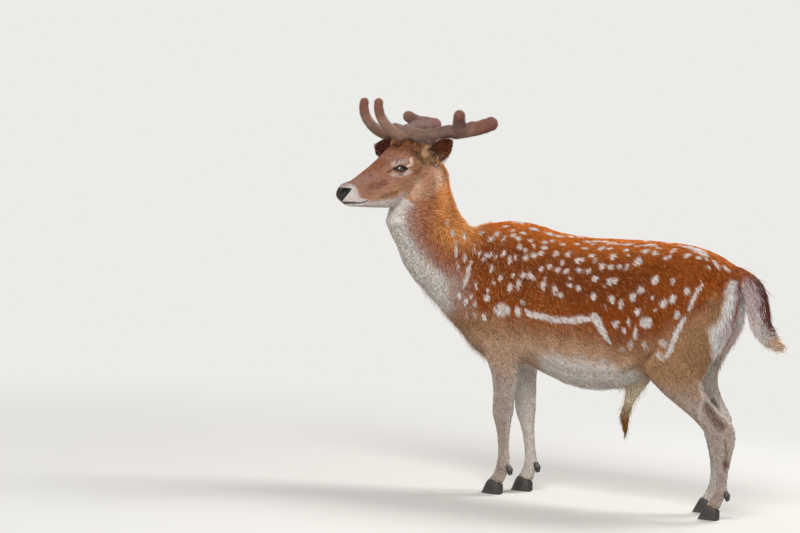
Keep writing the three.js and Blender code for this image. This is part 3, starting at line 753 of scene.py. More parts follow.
# Marks of each hind leg, in the same way: painted shade in the hollow before the tendon and in the groove
# below the hock, painted light along the edge of the calf and the tendon, and the brown gland of the cannon,
# with painted shade round it.
shank_marks = [
    ("hollow", 0.85, [(472, 336), (488, 308), (518, 278)], 7, 12),
    ("hollow", 0.6, [(534, 238), (541, 206), (541, 150)], 1, 5),
    ("leg_pale", 0.7, [(440, 402), (457, 354), (448, 318), (456, 292)], 2, 5),
    ("leg_pale", 0.6, [(470, 352), (508, 318), (548, 284)], 2, 5),
    ("hollow", 0.55, [(540, 176), (544, 168)], 7, 5),
    ("gland", 0.9, [(541, 175), (543, 169)], 2, 5),
]
# The middle of the tail from its root to its tip.
tail_path = [(470, 4, 722), (500, 4, 724), (543, 6, 690), (576, 8, 628), (607, 10, 553), (650, 10, 520)]


def along_tail(points):
    """How far each point lies from the middle of the tail, and how far along it."""
    return along_path(points - [0, midline, 0], np.array(tail_path) / 1000)


def stroke(points, path, reach, soft):
    """1 near a path, as far as its reach, and down to 0 over the soft edge beyond."""
    gap, _ = along_path(points, path)
    return 1 - smooth_step(gap, reach, reach + soft)


def trunk_colour(x, z, height, rust_edge, waver):
    """Orange on the back, rust on the flank, tan and sand below, white under the belly."""
    white_edge = np.interp(x, [-0.30, -0.20, -0.10, 0.03, 0.15, 0.26],
                           [0.43, 0.435, 0.447, 0.442, 0.438, 0.408]) + waver
    rust = np.maximum(smooth_step(np.abs(height - 0.66), 0.02, 0.20), smooth_step(x, 0.22, 0.34))
    colour = mix(mix("dusk", "russet", rust), "orange", smooth_step(height, 0.74, 0.95))
    fading = 0.022 + 0.022 * smooth_step(x, -0.20, -0.06)
    colour = mix("tan", colour, smooth_step(z - rust_edge, -fading, fading * 1.5))
    colour = mix("sand", colour, smooth_step(z - white_edge, 0.010, 0.065))
    above = np.maximum(smooth_step(z - white_edge, -0.030, 0.020), smooth_step(-x, 0.16, 0.24))
    return mix("white", colour, above)


def neck_colour(z, height, waver):
    """White in front, pinkish beside it, then brown, and orange on the nape."""
    edge = np.interp(z, [0.48, 0.51, 0.55, 0.59, 0.63, 0.66, 0.70, 0.735, 0.77, 0.81, 0.86],
                     [0.02, 0.10, 0.23, 0.31, 0.375, 0.355, 0.31, 0.28, 0.25, 0.20, 0.13]) + waver * 2
    upper = smooth_step(z, 0.69, 0.77)
    neck = mix("neck", "russet", smooth_step(height, 0.46, 0.58) * (1 - upper))
    neck = mix(neck, "nape", smooth_step(height, 0.40, 0.60) * upper)
    neck = mix(neck, "nape_edge", smooth_step(height, 0.80, 0.97) * upper)
    neck = mix("pink", neck, smooth_step(height - edge, 0.02, 0.17))
    return mix("white", neck, smooth_step(height - edge, -0.045, 0.055))


def paint_legs(colour, points, normals, rust_edge):
    """Thigh and legs go from tan to a pale greyish tan, and are white on their inner faces."""
    x, y, z = points.T
    side = np.abs(y - midline)
    limb = mix("leg", "thigh", smooth_step(z, 0.29, 0.43) * (x > 0))
    limb = mix(limb, "sand", smooth_step(z, 0.30, 0.46) * (x < 0))
    fore = smooth_step(-x, 0.02, 0.07) * smooth_step(side, 0.018, 0.045)
    is_limb = (1 - smooth_step(z, 0.43, 0.50)) * np.maximum(fore, smooth_step(x, 0.22, 0.30))
    is_limb = np.maximum(is_limb, smooth_step(x, 0.30, 0.42) * (1 - smooth_step(z - rust_edge, -0.05, 0.05)))
    colour = mix(colour, limb, np.maximum(is_limb, z < 0.33))
    inner = smooth_step(-normals[:, 1] * np.sign(y - midline), 0.15, 0.7) * (x > -0.3)
    colour = mix(colour, "white", inner * (1 - smooth_step(z, 0.46, 0.56)) * 0.85)
    # Where the lower legs face forward or back they are painted paler: painted light along their edges.
    front = smooth_step(np.abs(normals[:, 0]), 0.3, 0.95)
    colour = mix(colour, "leg_pale", (1 - smooth_step(z, 0.34, 0.42)) * front * 0.7)
    for leg in ("hind_left", "hind_right"):
        near, own = on_leg(points, leg)
        for name, strength, path, reach, soft in shank_marks:
            colour[near] = mix(colour[near], name, stroke(own[:, [0, 2]], path, reach, soft) * strength)
    return mix(colour, "thigh", (1 - smooth_step(z, 0.028, 0.055)) * 0.5)


def paint_rump(colour, points, normals, waver):
    """The white rump reaches round the edge of each haunch, and a bare stripe runs down under the tail."""
    x, y, z = points.T
    side, far = np.abs(y - midline), y > midline
    edge = np.interp(z, [0.44, 0.50, 0.56, 0.58, 0.61, 0.66, 0.72, 0.78],
                     [0.478, 0.470, 0.455, 0.462, 0.482, 0.489, 0.494, 0.53]) + waver * 0.5
    rump = smooth_step(x - edge, -0.006, 0.012) * smooth_step(z, 0.42, 0.50)
    rump *= 1 - smooth_step(z, 0.735, 0.76)
    colour = mix(colour, "rump", rump)
    # The inner slope of each buttock beside the bare stripe is painted lilac grey: painted shade, stronger on
    # the near side.
    edge = np.interp(z, [0.54, 0.56, 0.58, 0.60, 0.62, 0.65, 0.70],
                     [0.100, 0.097, 0.088, 0.074, 0.066, 0.060, 0.045]) * np.where(far, 0.5, 1)
    between = rump * (1 - smooth_step(side - edge, -0.006, 0.004)) * smooth_step(z, 0.50, 0.56)
    colour = mix(colour, "rump_lilac", between * np.where(far, 0.4, 0.7))
    stripe = 1 - smooth_step(np.abs(y - midline + 0.008), 0.013, 0.021)
    stripe *= smooth_step(normals[:, 0], 0.0, 0.3) * (x > 0.44)
    stripe *= smooth_step(z, 0.50, 0.56) * (1 - smooth_step(z, 0.69, 0.71))
    colour = mix(colour, mix("rump_pink", "rump_stripe", smooth_step(z, 0.54, 0.62)), stripe * 0.9)
    dotted = smooth_step(np.sin(x * 620 + y * 310) * np.sin(z * 540 + y * 130), 0.3, 0.7)
    behind = rump * (y > midline + 0.02) * (1 - smooth_step(z, 0.56, 0.62))
    behind *= smooth_step(-normals[:, 1], 0.0, 0.6)
    return mix(colour, "rump_pink", behind * (0.35 + 0.35 * dotted))


def tail_colour(points, normals):
    """Rust above and white below, with a dark stripe and a buff tip. Says which points it is for, too."""
    x, _, z = points.T
    gap, way = along_tail(points)
    tail = (gap < 0.042) & (x > 0.515) & (z > 0.49) | (x > 0.488) & (z > 0.712)
    upper = normals[:, 0] * 0.75 + normals[:, 2] * 0.66 + chance.normal(0, 0.22, len(points))
    # Lilac grey is mixed into the white underside at random, as the hair's own tone, and most near the root,
    # as painted shade.
    white = 0.3 + 0.4 * smooth_step(way, 0.45, 0.7) + chance.uniform(-0.3, 0.3, len(points))
    brush = mix(mix("tail_lilac", "white", white), "tail_dark", smooth_step(upper, 0.20, 0.75))
    brush = mix(brush, "tail_stripe", smooth_step(upper, 0.1, 0.5) * np.exp(-((way - 0.62) / 0.12) ** 2))
    brush = mix(brush, "tail_top", (1 - smooth_step(way, 0.20, 0.42)) * smooth_step(upper, -0.1, 0.4))
    tip = smooth_step(way, 0.76, 0.90) * (0.45 + 0.5 * smooth_step(upper, -0.3, 0.6))
    return mix(brush, "tail_tip", tip), tail


def pad_edge_at(hz):
    """How far back the black pad of the nose reaches at each height of the head."""
    return np.interp(hz, [-12, -4, 0, 4, 8, 12, 15, 20, 28, 38],
                     [-285, -279, -274, -264, -246, -236, -236, -243, -254, -268])


def head_colour(points, normals):
    """Tan and pinkish brown, white on lips, chin and throat. Says how far each point is of the head, too."""
    face = folded_head(points)
    hx, hy, hz = face.T
    beside = face[:, [0, 2]]
    head = mix("cheek", "face", smooth_step(hz, -62, -18))
    head = mix(head, "bridge", smooth_step(hz, 16, 34) * smooth_step(hx, -210, -150) * 0.7)
    for name, strength, path, reach, soft in face_marks:
        # A mark that starts high on the head runs on over its middle.
        shown = smooth_step(hy, 8, 20) if path[0][1] < 24 else 1.0
        head = mix(head, name, stroke(beside, path, reach, soft) * strength * shown)
    speckle = np.sin(hx * 0.83 + hy * 0.61) * np.sin(hz * 0.95 - hx * 0.37 + hy * 0.2)
    speckle = smooth_step(speckle, 0.55, 0.95)
    head *= 1 - 0.35 * (speckle * smooth_step(hx, -190, -120) * smooth_step(hz, 0, 16))[:, None]
    jaw = np.interp(hx, [-285, -245, -214, -190, -160, -135, -118, -105],
                    [-10, -44, -53, -66, -80, -92, -106, -150])
    head = mix("muzzle", head, smooth_step(hz - jaw, -6, 9))
    # The white ring of the muzzle, behind the black pad of the nose.
    edge = np.interp(hz, [-50, -44, -30, -20, -6, 13, 32, 42],
                     [-212, -215, -227, -232, -229, -227, -236, -240])
    ring = mix("muzzle", "nose_top", smooth_step(hz, 20, 29) * (1 - smooth_step(-hx, 255, 268)))
    head = mix(head, ring, (1 - smooth_step(hx - edge, -5, 6)) * (hz > -50))
    pad = 1 - smooth_step(hx - pad_edge_at(hz), -1.6, 1.6)
    pad *= smooth_step(hz, -14, -8) * (1 - smooth_step(hz, 36, 42))
    # The front of the black pad is painted grey: painted light on its wet front.
    nose = mix("black", "nose_grey", smooth_step(-hx, 274, 284) * 0.6)
    head = mix(head, mix(nose, "nostril", stroke(beside, nostril, 2, 3) * (hy > 6)), pad)
    lips = 1.0 + 1.6 * smooth_step(-hx, 236, 262)
    head = mix(head, "black", stroke(beside, mouth, lips, 1.6) * (hy > 1.5) * 0.92)
    # Dark on the edges of the lids, and in the gland before the eye.
    eye_side = smooth_step(hy, 24, 34)
    head = mix(head, "lid", stroke(beside, gland, 0.9, 1.7) * eye_side * 0.9)
    head = mix(head, "lid", stroke(beside, [(-71, -26), (-64, -25)], 0.8, 1.6) * eye_side * 0.8)
    way, _, outside = lid_gap(face)
    head = mix(head, "lid", (1 - smooth_step(outside, 2.0, 4.2)) * (np.abs(way) < 1.08) * eye_side)
    # Ears: greyish brown outside, dark rust inside, with a pale rim.
    belongs, way, opens, edge = on_ear(in_head(points))
    inside = smooth_step(np.einsum("ij,ij->i", normals @ head_turn, opens), 0.05, 0.35)
    rim = np.maximum(smooth_step(edge, 0.80, 0.90), smooth_step(way, 0.93, 0.99))
    ear = mix(mix("ear_out", "ear_in", inside), "ear_rim", rim * 0.9)
    ear = mix(ear, "ear_base", (1 - smooth_step(way, 0.18, 0.34)) * 0.8)
    is_head = smooth_step(-hx, -40, -4) * smooth_step(hz, -150, -112)
    return np.where(belongs[:, None], ear, head), np.maximum(is_head, belongs)


def coat_colour(points, normals):
    """The coat's colour at each point, as linear red, green and blue."""
    x, y, z = points.T
    height = height_on_body(points)
    waver = 0.006 * np.sin(x * 83 + z * 31) + 0.004 * np.sin(x * 190 - z * 120)
    rust_edge = np.interp(x, [-0.33, -0.20, -0.13, -0.04, 0.08, 0.20, 0.29, 0.41, 0.46],
                          [0.575, 0.530, 0.522, 0.508, 0.508, 0.480, 0.508, 0.580, 0.635]) + waver
    on_neck = smooth_step(-x, 0.235, 0.315) * smooth_step(z, 0.49, 0.55)
    colour = mix(trunk_colour(x, z, height, rust_edge, waver), neck_colour(z, height, waver), on_neck)
    colour = paint_legs(colour, points, normals, rust_edge)
    colour = paint_rump(colour, points, normals, waver)
    brush, tail = tail_colour(points, normals)
    colour = np.where(tail[:, None], brush, colour)
    # The sheath is cream, and darkens to its brush.
    sheath = (x > 0.185) & (x < 0.31) & (np.abs(y - midline) < 0.032) & (z < 0.375) & (z > 0.19)
    prepuce = mix("sheath_tip", "sheath_mid", smooth_step(z, 0.205, 0.250))
    prepuce = mix(prepuce, "sheath", smooth_step(z, 0.265, 0.320))
    colour = np.where(sheath[:, None], prepuce, colour)
    colour = mix(colour, "spot", white_marks(points) * ~tail)
    colour = mix(colour, *head_colour(points, normals))
    # Every coat is a little uneven.
    uneven = 1 + 0.05 * np.sin(x * 61 + z * 23) * np.sin(z * 47 - x * 19) + 0.03 * np.sin(x * 190 + z * 130)
    return np.clip(colour * uneven[:, None], 0, 1)


def bare_skin(points):
    """1 where no hair grows: the nose pad, the edges of the lids and the lips."""
    face = folded_head(points)
    hx, hy, hz = face.T
    bare = (hx < pad_edge_at(hz) + 1) & (hz > -12) & (hz < 40)
    bare |= (lid_gap(face)[2] < 3.0) & (hy > 34) & (np.abs(hx + 88) < 24)
    bare |= (along_path(face[:, [0, 2]], mouth)[0] < 1.8) & (hy < 40)
    return bare.astype(float)


def paint_points(piece, name, values):
    """Writes one value for each point of a piece as a named attribute: a colour, or a number."""
    if values.ndim == 1:
        layer = piece.data.attributes.new(name, "FLOAT", "POINT")
        layer.data.foreach_set("value", values.astype(np.float32))
    else:
        layer = piece.data.attributes.new(name, "FLOAT_COLOR", "POINT")
        values = np.column_stack([values, np.ones(len(values))])
        layer.data.foreach_set("color", values.astype(np.float32).ravel())


def unwrap(piece):
    """Gives a piece a map of its own, each form flattened beside the others, with a place for every tuft."""
    pick(piece)
    piece.data.uv_layers.new(name="OFBake")
    bpy.ops.object.mode_set(mode="EDIT")
    bpy.ops.mesh.select_all(action="SELECT")
    bpy.ops.uv.smart_project(angle_limit=math.radians(70), island_margin=0.002)
    bpy.ops.object.mode_set(mode="OBJECT")


paint_points(skin, "Coat", coat_colour(skin_points, normals_of(skin)))
paint_points(skin, "Bare", bare_skin(skin_points))
unwrap(skin)

# Hide under fine hair 40 micrometres across, drawn 1.5 mm apart so that it shows. The nose is wet, pebbled.
hide = new_material("haired_hide")
tint = add_node(hide, "Attribute", {"attribute_name": "Coat"})
bare = add_node(hide, "Attribute", {"attribute_name": "Bare"})
place = add_node(hide, "TexCoord")
strands = add_node(hide, "TexNoise", Vector=place.outputs["Object"], Scale=660.0, Detail=3.0)
pebbles = add_node(hide, "TexVoronoi", Vector=place.outputs["Object"], Scale=700.0)
relief = add_node(hide, "Mix", {"data_type": "FLOAT"}, Factor=bare.outputs["Fac"],
                  _2=strands.outputs["Fac"], _3=pebbles.outputs["Distance"])
bump = add_node(hide, "Bump", Strength=0.7, Distance=0.0011, Height=relief.outputs["Result"])
gloss = add_node(hide, "MapRange", Value=bare.outputs["Fac"], To__Min=0.85, To__Max=0.34)
# The hide is painted darker where the strands' relief lies low: painted shade between the strands.
depth = add_node(hide, "MapRange", Value=strands.outputs["Fac"], From__Min=0.3, From__Max=0.7,
                 To__Min=0.62, To__Max=0.98)
shade = add_node(hide, "VectorMath", {"operation": "SCALE"}, _0=tint.outputs["Color"],
                 Scale=depth.outputs["Result"])
finish = add_node(hide, "BsdfPrincipled", Base__Color=shade.outputs["Vector"],
                  Roughness=gloss.outputs["Result"], Normal=bump.outputs["Normal"], IOR=1.5,
                  Specular__IOR__Level=0.3)
add_node(hide, "OutputMaterial", Surface=finish.outputs[0])
skin.data.materials.clear()
skin.data.materials.append(hide)
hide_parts(*flesh)
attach(skin, "root")

# ---------------------------------------------------------------- coat
# Summer hair in slim locks, each a closed spindle rooted in the hide, that lies along the body from the
# nose to the tail and down the legs. Locks are shortest on the face and feet and longest on the tail.

# How the hair lies: places in mm from the middle plane (outwards positive), and the way it points there.
lie_guides = [
    (-270, 0, 800, 0.9, 0, -0.5), (-160, 0, 811, 1, 0, -0.1), (150, 0, 791, 1, 0, 0),
    (400, 0, 785, 1, 0, -0.15), (500, 0, 740, 0.8, 0, -0.6), (-230, 90, 720, 0.35, 0, -0.95),
    (-180, 95, 600, 0.45, 0, -0.9), (-60, 110, 740, 0.8, 0, -0.6), (-60, 130, 600, 0.75, 0, -0.65),
    (100, 135, 720, 0.85, 0, -0.5), (100, 137, 580, 0.8, 0, -0.6), (100, 120, 440, 0.85, 0, -0.45),
    (280, 115, 700, 0.75, 0, -0.65), (280, 118, 560, 0.6, 0, -0.8), (420, 105, 700, 0.55, 0, -0.85),
    (420, 110, 560, 0.45, 0, -0.9), (490, 60, 680, 0.2, 0, -1), (500, 50, 560, 0.0, 0, -1),
    (-200, 60, 450, 0.3, 0, -0.95), (-230, 0, 400, 0.8, 0, -0.5), (-90, 0, 382, 1, 0, 0),
    (100, 0, 337, 1, 0, 0), (300, 0, 390, 1, 0, 0.2), (400, 0, 446, 0.7, 0, 0.3),
    (-300, 0, 470, 0.5, 0, -0.85), (-410, -55, 560, 0.35, 0.1, -0.95), (-500, -120, 700, 0.1, 0.1, -1),
    (-520, -146, 780, 0.1, 0.1, -1), (-400, -20, 700, 0.1, 0.1, -1), (-400, -110, 700, 0.1, 0.1, -1),
    (-350, 30, 800, 0.15, 0.2, -1), (-390, -70, 960, 0.35, 0.25, -0.9), (-345, -40, 822, 0.55, 0.3, -0.8),
    (-300, 40, 640, 0.2, 0.1, -1), (-300, -100, 640, 0.2, 0.1, -1), (-160, 74, 520, 0.15, 0, -1),
    (-150, 74, 300, 0, 0, -1), (-132, 74, 150, 0, 0, -1), (-145, 74, 60, -0.5, 0, -0.85),
    (380, 100, 480, 0.5, 0, -0.85), (430, 80, 380, 0.6, 0, -0.8), (490, 74, 290, 0.3, 0, -0.95),
    (515, 74, 160, 0, 0, -1), (505, 74, 60, -0.5, 0, -0.85), (480, 0, 745, 0.9, 0, -0.35),
    (560, 6, 700, 0.55, 0, -0.83), (585, 8, 630, 0.25, 0, -0.97), (612, 10, 560, 0.5, 0, -0.85),
    (650, 10, 520, 0.85, 0, -0.5), (245, 0, 360, -0.1, 0, -1), (222, 0, 290, -0.15, 0, -1),
    (214, 0, 230, 0.05, 0, -1),
]
head_guides = [
    (-275, 0, 22, 1, 0, 0.1), (-230, 28, 0, 1, 0, -0.05), (-150, 40, 0, 1, 0.1, -0.1),
    (-150, 36, -60, 1, 0, -0.25), (-90, 58, -60, 0.85, 0, -0.5), (-100, 30, 34, 1, 0.2, 0),
    (-60, 0, 42, 1, 0, 0.05), (-20, 20, 40, 1, 0.3, 0), (-30, 60, -60, 0.6, 0, -0.8),
    (-240, 0, -52, 1, 0, -0.2), (-150, 0, -114, 1, 0, -0.3), (-70, 0, -124, 0.8, 0, -0.6),
    (20, 0, 0, 0.8, 0, -0.6), (-90, 58, 6, 1, 0.1, 0.25), (-88, 56, -44, 1, 0, -0.4),
]
guides = []
for x, side, z, dx, dy, dz in lie_guides:
    for hand in ((-1, 1) if side > 40 else (1,)):
        place = (x / 1000, midline + hand * side / 1000, z / 1000)
        guides.append((place, (dx, hand * dy if side > 40 else dy, dz)))
for hx, hy, hz, dx, dy, dz in head_guides:
    for hand in (-1, 1):
        guides.append((on_head((hx, hand * hy, hz))[0], head_turn @ (dx, hand * dy, dz)))
for hand, out in (("left", -1), ("right", 1)):
    root, tip = on_head(ear_root[hand])[0], on_head(ear_tip[hand])[0]
    for part in (0.25, 0.6, 0.95):
        guides.append((root + (tip - root) * part, tip - root))
    guides.append((on_head((0, out * 62, -50))[0], head_turn @ (0.75, 0, 0.6)))
guide_places = np.array([place for place, _ in guides])
guide_ways = unit(np.array([way for _, way in guides]))


def along_surface(ways, normals, share=1):
    """These ways laid along the surface: the part, or a share of it, that points out of it is taken away."""
    return unit(ways - normals * np.einsum("ij,ij->i", ways, normals)[:, None] * share)


def lie_of(points, normals):
    """The way the hair points at each place, along the surface."""
    ways = np.zeros((len(points), 3))
    batch = 20000
    for i in range(0, len(points), batch):
        part = slice(i, i + batch)
        gaps = np.linalg.norm(points[part, None] - guide_places[None], axis=2)
        ways[part] = (1 / (gaps + 0.004) ** 4) @ guide_ways
    return along_surface(ways, normals)


# Fine hair, which shines a little along its length and is matt across.
hair = new_material("summer_hair")
tint = add_node(hair, "Attribute", {"attribute_name": "Coat"})
place = add_node(hair, "TexCoord")
strands = add_node(hair, "TexNoise", Vector=place.outputs["Object"], Scale=900.0, Detail=2.0)
bump = add_node(hair, "Bump", Strength=0.35, Distance=0.0006, Height=strands.outputs["Fac"])
finish = add_node(hair, "BsdfPrincipled", Base__Color=tint.outputs["Color"], Roughness=0.62,
                  Normal=bump.outputs["Normal"], IOR=1.5, Specular__IOR__Level=0.08)
add_node(hair, "OutputMaterial", Surface=finish.outputs[0])
root_depth = 0.0012         # how far under the hide each lock starts


def spindles(name, roots, normals, ways, maps, lengths, breadths, rises, tints, rings=1, droop=0):
    """Closed slim locks joined as one piece. Each starts under the hide, swells, and thins out to a tip."""
    count = len(roots)
    sides = np.cross(normals, ways)
    steps = np.linspace(0, 1, rings + 2)[1:-1] ** (1.25 if rings > 1 else 1.6)
    per = 2 + 3 * rings
    points = np.zeros((count, per, 3))
    along = np.repeat([0, *steps, 1], [1, *[3] * rings, 1])
    points[:, 0] = roots - normals * root_depth
    for ring, step in enumerate(steps):
        middle = roots + ways * (lengths * step)[:, None] + normals * (rises * (0.35 + 0.65 * step))[:, None]
        middle[:, 2] -= droop * step ** 2
        thick = breadths * (0.5 * (1 - 0.75 * max(0, step - 0.4) / 0.6))
        for k, angle in enumerate((0, 2 * math.pi / 3, 4 * math.pi / 3)):
            points[:, 1 + 3 * ring + k] = middle + sides * (thick * math.sin(angle))[:, None] + normals * (
                thick * 0.45 * math.cos(angle))[:, None]
    points[:, -1] = roots + ways * lengths[:, None] + normals * rises[:, None]
    points[:, -1, 2] -= droop
    faces = [(0, 2, 1), (0, 3, 2), (0, 1, 3)]
    for ring in range(rings - 1):
        low = 1 + 3 * ring
        for k in range(3):
            a, b = low + k, low + (k + 1) % 3
            faces += [(a, b, b + 3), (a, b + 3, a + 3)]
    last = 3 * rings - 2
    faces += [(last, last + 1, per - 1), (last + 1, last + 2, per - 1), (last + 2, last, per - 1)]
    corners = (np.array(faces)[None] + (np.arange(count) * per)[:, None, None]).reshape(-1, 3)
    mesh = bpy.data.meshes.new(name)
    mesh.vertices.add(count * per)
    mesh.vertices.foreach_set("co", points.astype(np.float32).ravel())
    mesh.loops.add(corners.size)
    mesh.loops.foreach_set("vertex_index", corners.astype(np.int32).ravel())
    mesh.polygons.add(len(corners))
    mesh.polygons.foreach_set("loop_start", np.arange(0, corners.size, 3, dtype=np.int32))
    mesh.update(calc_edges=True)
    mesh.polygons.foreach_set("use_smooth", np.ones(len(corners), bool))
    # Each lock is a small patch of the hide's map, at its root.
    half = 0.0015
    spread = np.zeros((per, 2))
    spread[:, 1] = np.linspace(-half, half, per)
    spread[1:-1, 0] = np.tile([0, half, -half], rings)
    places = np.clip(maps[:, None] + spread[None], 0.0005, 0.9995).reshape(-1, 2)
    layer = mesh.uv_layers.new(name="OFBake")
    layer.uv.foreach_set("vector", places[corners.ravel()].astype(np.float32).ravel())
    piece = bpy.data.objects.new(name, mesh)
    bpy.context.scene.collection.objects.link(piece)
    # Each lock is painted darker at its root and paler at its tip: painted shade deep in the coat and painted
    # light on the tips.
    shade = 0.55 + 0.85 * along
    paint_points(piece, "Coat", np.clip(tints[:, None] * shade[:, None], 0, 1).reshape(-1, 3))
    piece.data.materials.append(hair)
    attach(piece, "root")


def faces_of(piece):
    """What hair is rooted in: the places, normals and map places of each triangle's corners."""
    rows = triangles_of(piece)
    places = np.empty(len(piece.data.loops) * 2, np.float32)
    piece.data.uv_layers["OFBake"].uv.foreach_get("vector", places)
    places = places.reshape(-1, 2)[triangles_of(piece, "loops")]
    return points_of(piece)[rows], normals_of(piece)[rows], places


def rooted(faces, density):
    """Roots at this many to the square metre on each face: places, normals and map places."""
    corners = faces[0]
    areas = np.linalg.norm(np.cross(corners[:, 1] - corners[:, 0], corners[:, 2] - corners[:, 0]), axis=1) / 2
    number = np.floor(density * areas + chance.random(len(areas))).astype(int)
    chosen = np.repeat(np.arange(len(areas)), number)
    weight = chance.random((len(chosen), 2))
    over = weight.sum(1) > 1
    weight[over] = 1 - weight[over]
    weight = np.column_stack([1 - weight.sum(1), weight])
    places, normals, maps = (np.einsum("ij,ijk->ik", weight, rows[chosen]) for rows in faces)
    return places, unit(normals), maps


def hair_length(points):
    """Length of the hair in mm, short on the ears."""
    return np.where(on_ear(in_head(points))[0], 6, coat_length(points))


def lock_breadth(lengths):
    """Longer locks are broader, all in mm."""
    return 0.98 + 0.11 * lengths


# Locks are spread over the hide's faces, as many as it takes to cover them, and fewer under the belly.
skin_faces = faces_of(skin)
middles = skin_faces[0].mean(1)
lengths = hair_length(middles)
cover = np.interp(lengths, [4, 8, 12, 20], [1.12, 1.22, 1.95, 2.3])
density = cover / (lengths * lock_breadth(lengths) * 0.5 * 1e-6) * (1 - bare_skin(middles))
density *= np.where(on_ear(in_head(middles))[0], 0.8, 1)
density *= np.where((middles[:, 2] < 0.47) & (lengths > 9), 0.75, 1)
places, normals, maps = rooted(skin_faces, density)
count = len(places)
lengths = hair_length(places)
breadths = lock_breadth(lengths) * chance.uniform(0.75, 1.2, count) / 1000
lengths = lengths * chance.uniform(0.75, 1.2, count) / 1000
ways = lie_of(places, normals)
ways = unit(ways + np.cross(normals, ways) * chance.normal(0, 0.16, count)[:, None])
x, y, z = places.T
height = height_on_body(places)
rises = lengths * chance.uniform(0.05, 0.17, count) + 0.0004
rough = smooth_step(-x, 0.24, 0.34) * smooth_step(height, 0.6, 0.85) * smooth_step(z, 0.74, 0.8)
rises += lengths * rough * chance.uniform(0, 0.35, count)
tints = coat_colour(places, normals) * chance.normal(1, 0.24, count)[:, None]
# Locks that lie in one streak are alike in shade. Streaks are a few millimetres wide and run with the coat.
along, across = places @ (0.8, 0, -0.6), places @ (0.6, 0, 0.8)
streaks = np.sin(across * 780 + 2.5 * np.sin(along * 95)) * np.sin(along * 170 + 2 * np.sin(across * 210))
streaks += 0.6 * np.sin(across * 1130 + 3 * np.sin(along * 71 + 2)) * np.sin(along * 240 + y * 90)
tints *= 1 + 0.21 * streaks[:, None]
# Pale and dark hairs are strewn through the coat, most of all on the neck.
hx, _, hz = in_head(places).T
on_neck = smooth_step(-x, 0.26, 0.34) * smooth_step(height, 0.22, 0.36)
on_neck += smooth_step(-hz, 40, 80) * smooth_step(hx, -130, -70) * (hx < 60)
on_back = smooth_step(z, 0.56, 0.66) * (hx > 30)
strewn = chance.random(count)
tints = mix(tints, "nape_edge", 0.5 * (strewn < 0.02 + 0.12 * on_neck))
tints = mix(tints, "nape", 0.5 * (strewn > 0.5) * (strewn < 0.5 + 0.08 * on_back))
tints = mix(tints, "dusk", 0.5 * (strewn > 0.97 - 0.07 * on_neck) * (height > 0.4))
left = y < midline
fore = (x < -0.05) & (z < 0.50)
hind = (x > 0.02) & (z < 0.44) & ((x > 0.31) | (z < 0.30))
regions = {         # each takes what the ones before it leave
    "coat_head": (hx < 30) & (hz > -130), "coat_neck": x < -0.27,
    "coat_left_fore": fore & left, "coat_right_fore": fore,
    "coat_left_shoulder": (x < 0.02) & left, "coat_right_shoulder": x < 0.02,
    "coat_left_hind": hind & left, "coat_right_hind": hind, "coat_belly": z < 0.47,
    "coat_left_flank": (x < 0.27) & left, "coat_right_flank": x < 0.27,
    "coat_left_haunch": left, "coat_right_haunch": ~left,
}
left_over = bare_skin(places) < 0.5
for name, region in regions.items():
    own = left_over & region
    left_over &= ~region
    spindles(name, places[own], normals[own], ways[own], maps[own], lengths[own], breadths[own],
             rises[own], tints[own])

# ---------------------------------------------------------------- long hair
# Longer locks grow over the summer coat: on the tail, nape, brisket, thighs and sheath, before the ears and
# over the far brow, and as single whiskers on brow and chin. Each is a slim spindle in several lengths.

name_colours(ear_tuft="#f0c49e")
near_tail, tail_way = along_tail(middles)
high = height_on_body(middles)
facing_x, _, facing_z = skin_faces[1].mean(1).T
fx, fy, fz = middles.T
head_here = in_head(middles)
hx, _, hz = head_here.T
on_tail = (near_tail < 0.045) & (fx > 0.515)
amid = np.abs(fy - midline) < 0.03


def tuft(place, reach):
    """The hide's faces within reach, in mm, of a place in the head's own frame."""
    return np.linalg.norm(head_here - place, axis=1) < reach


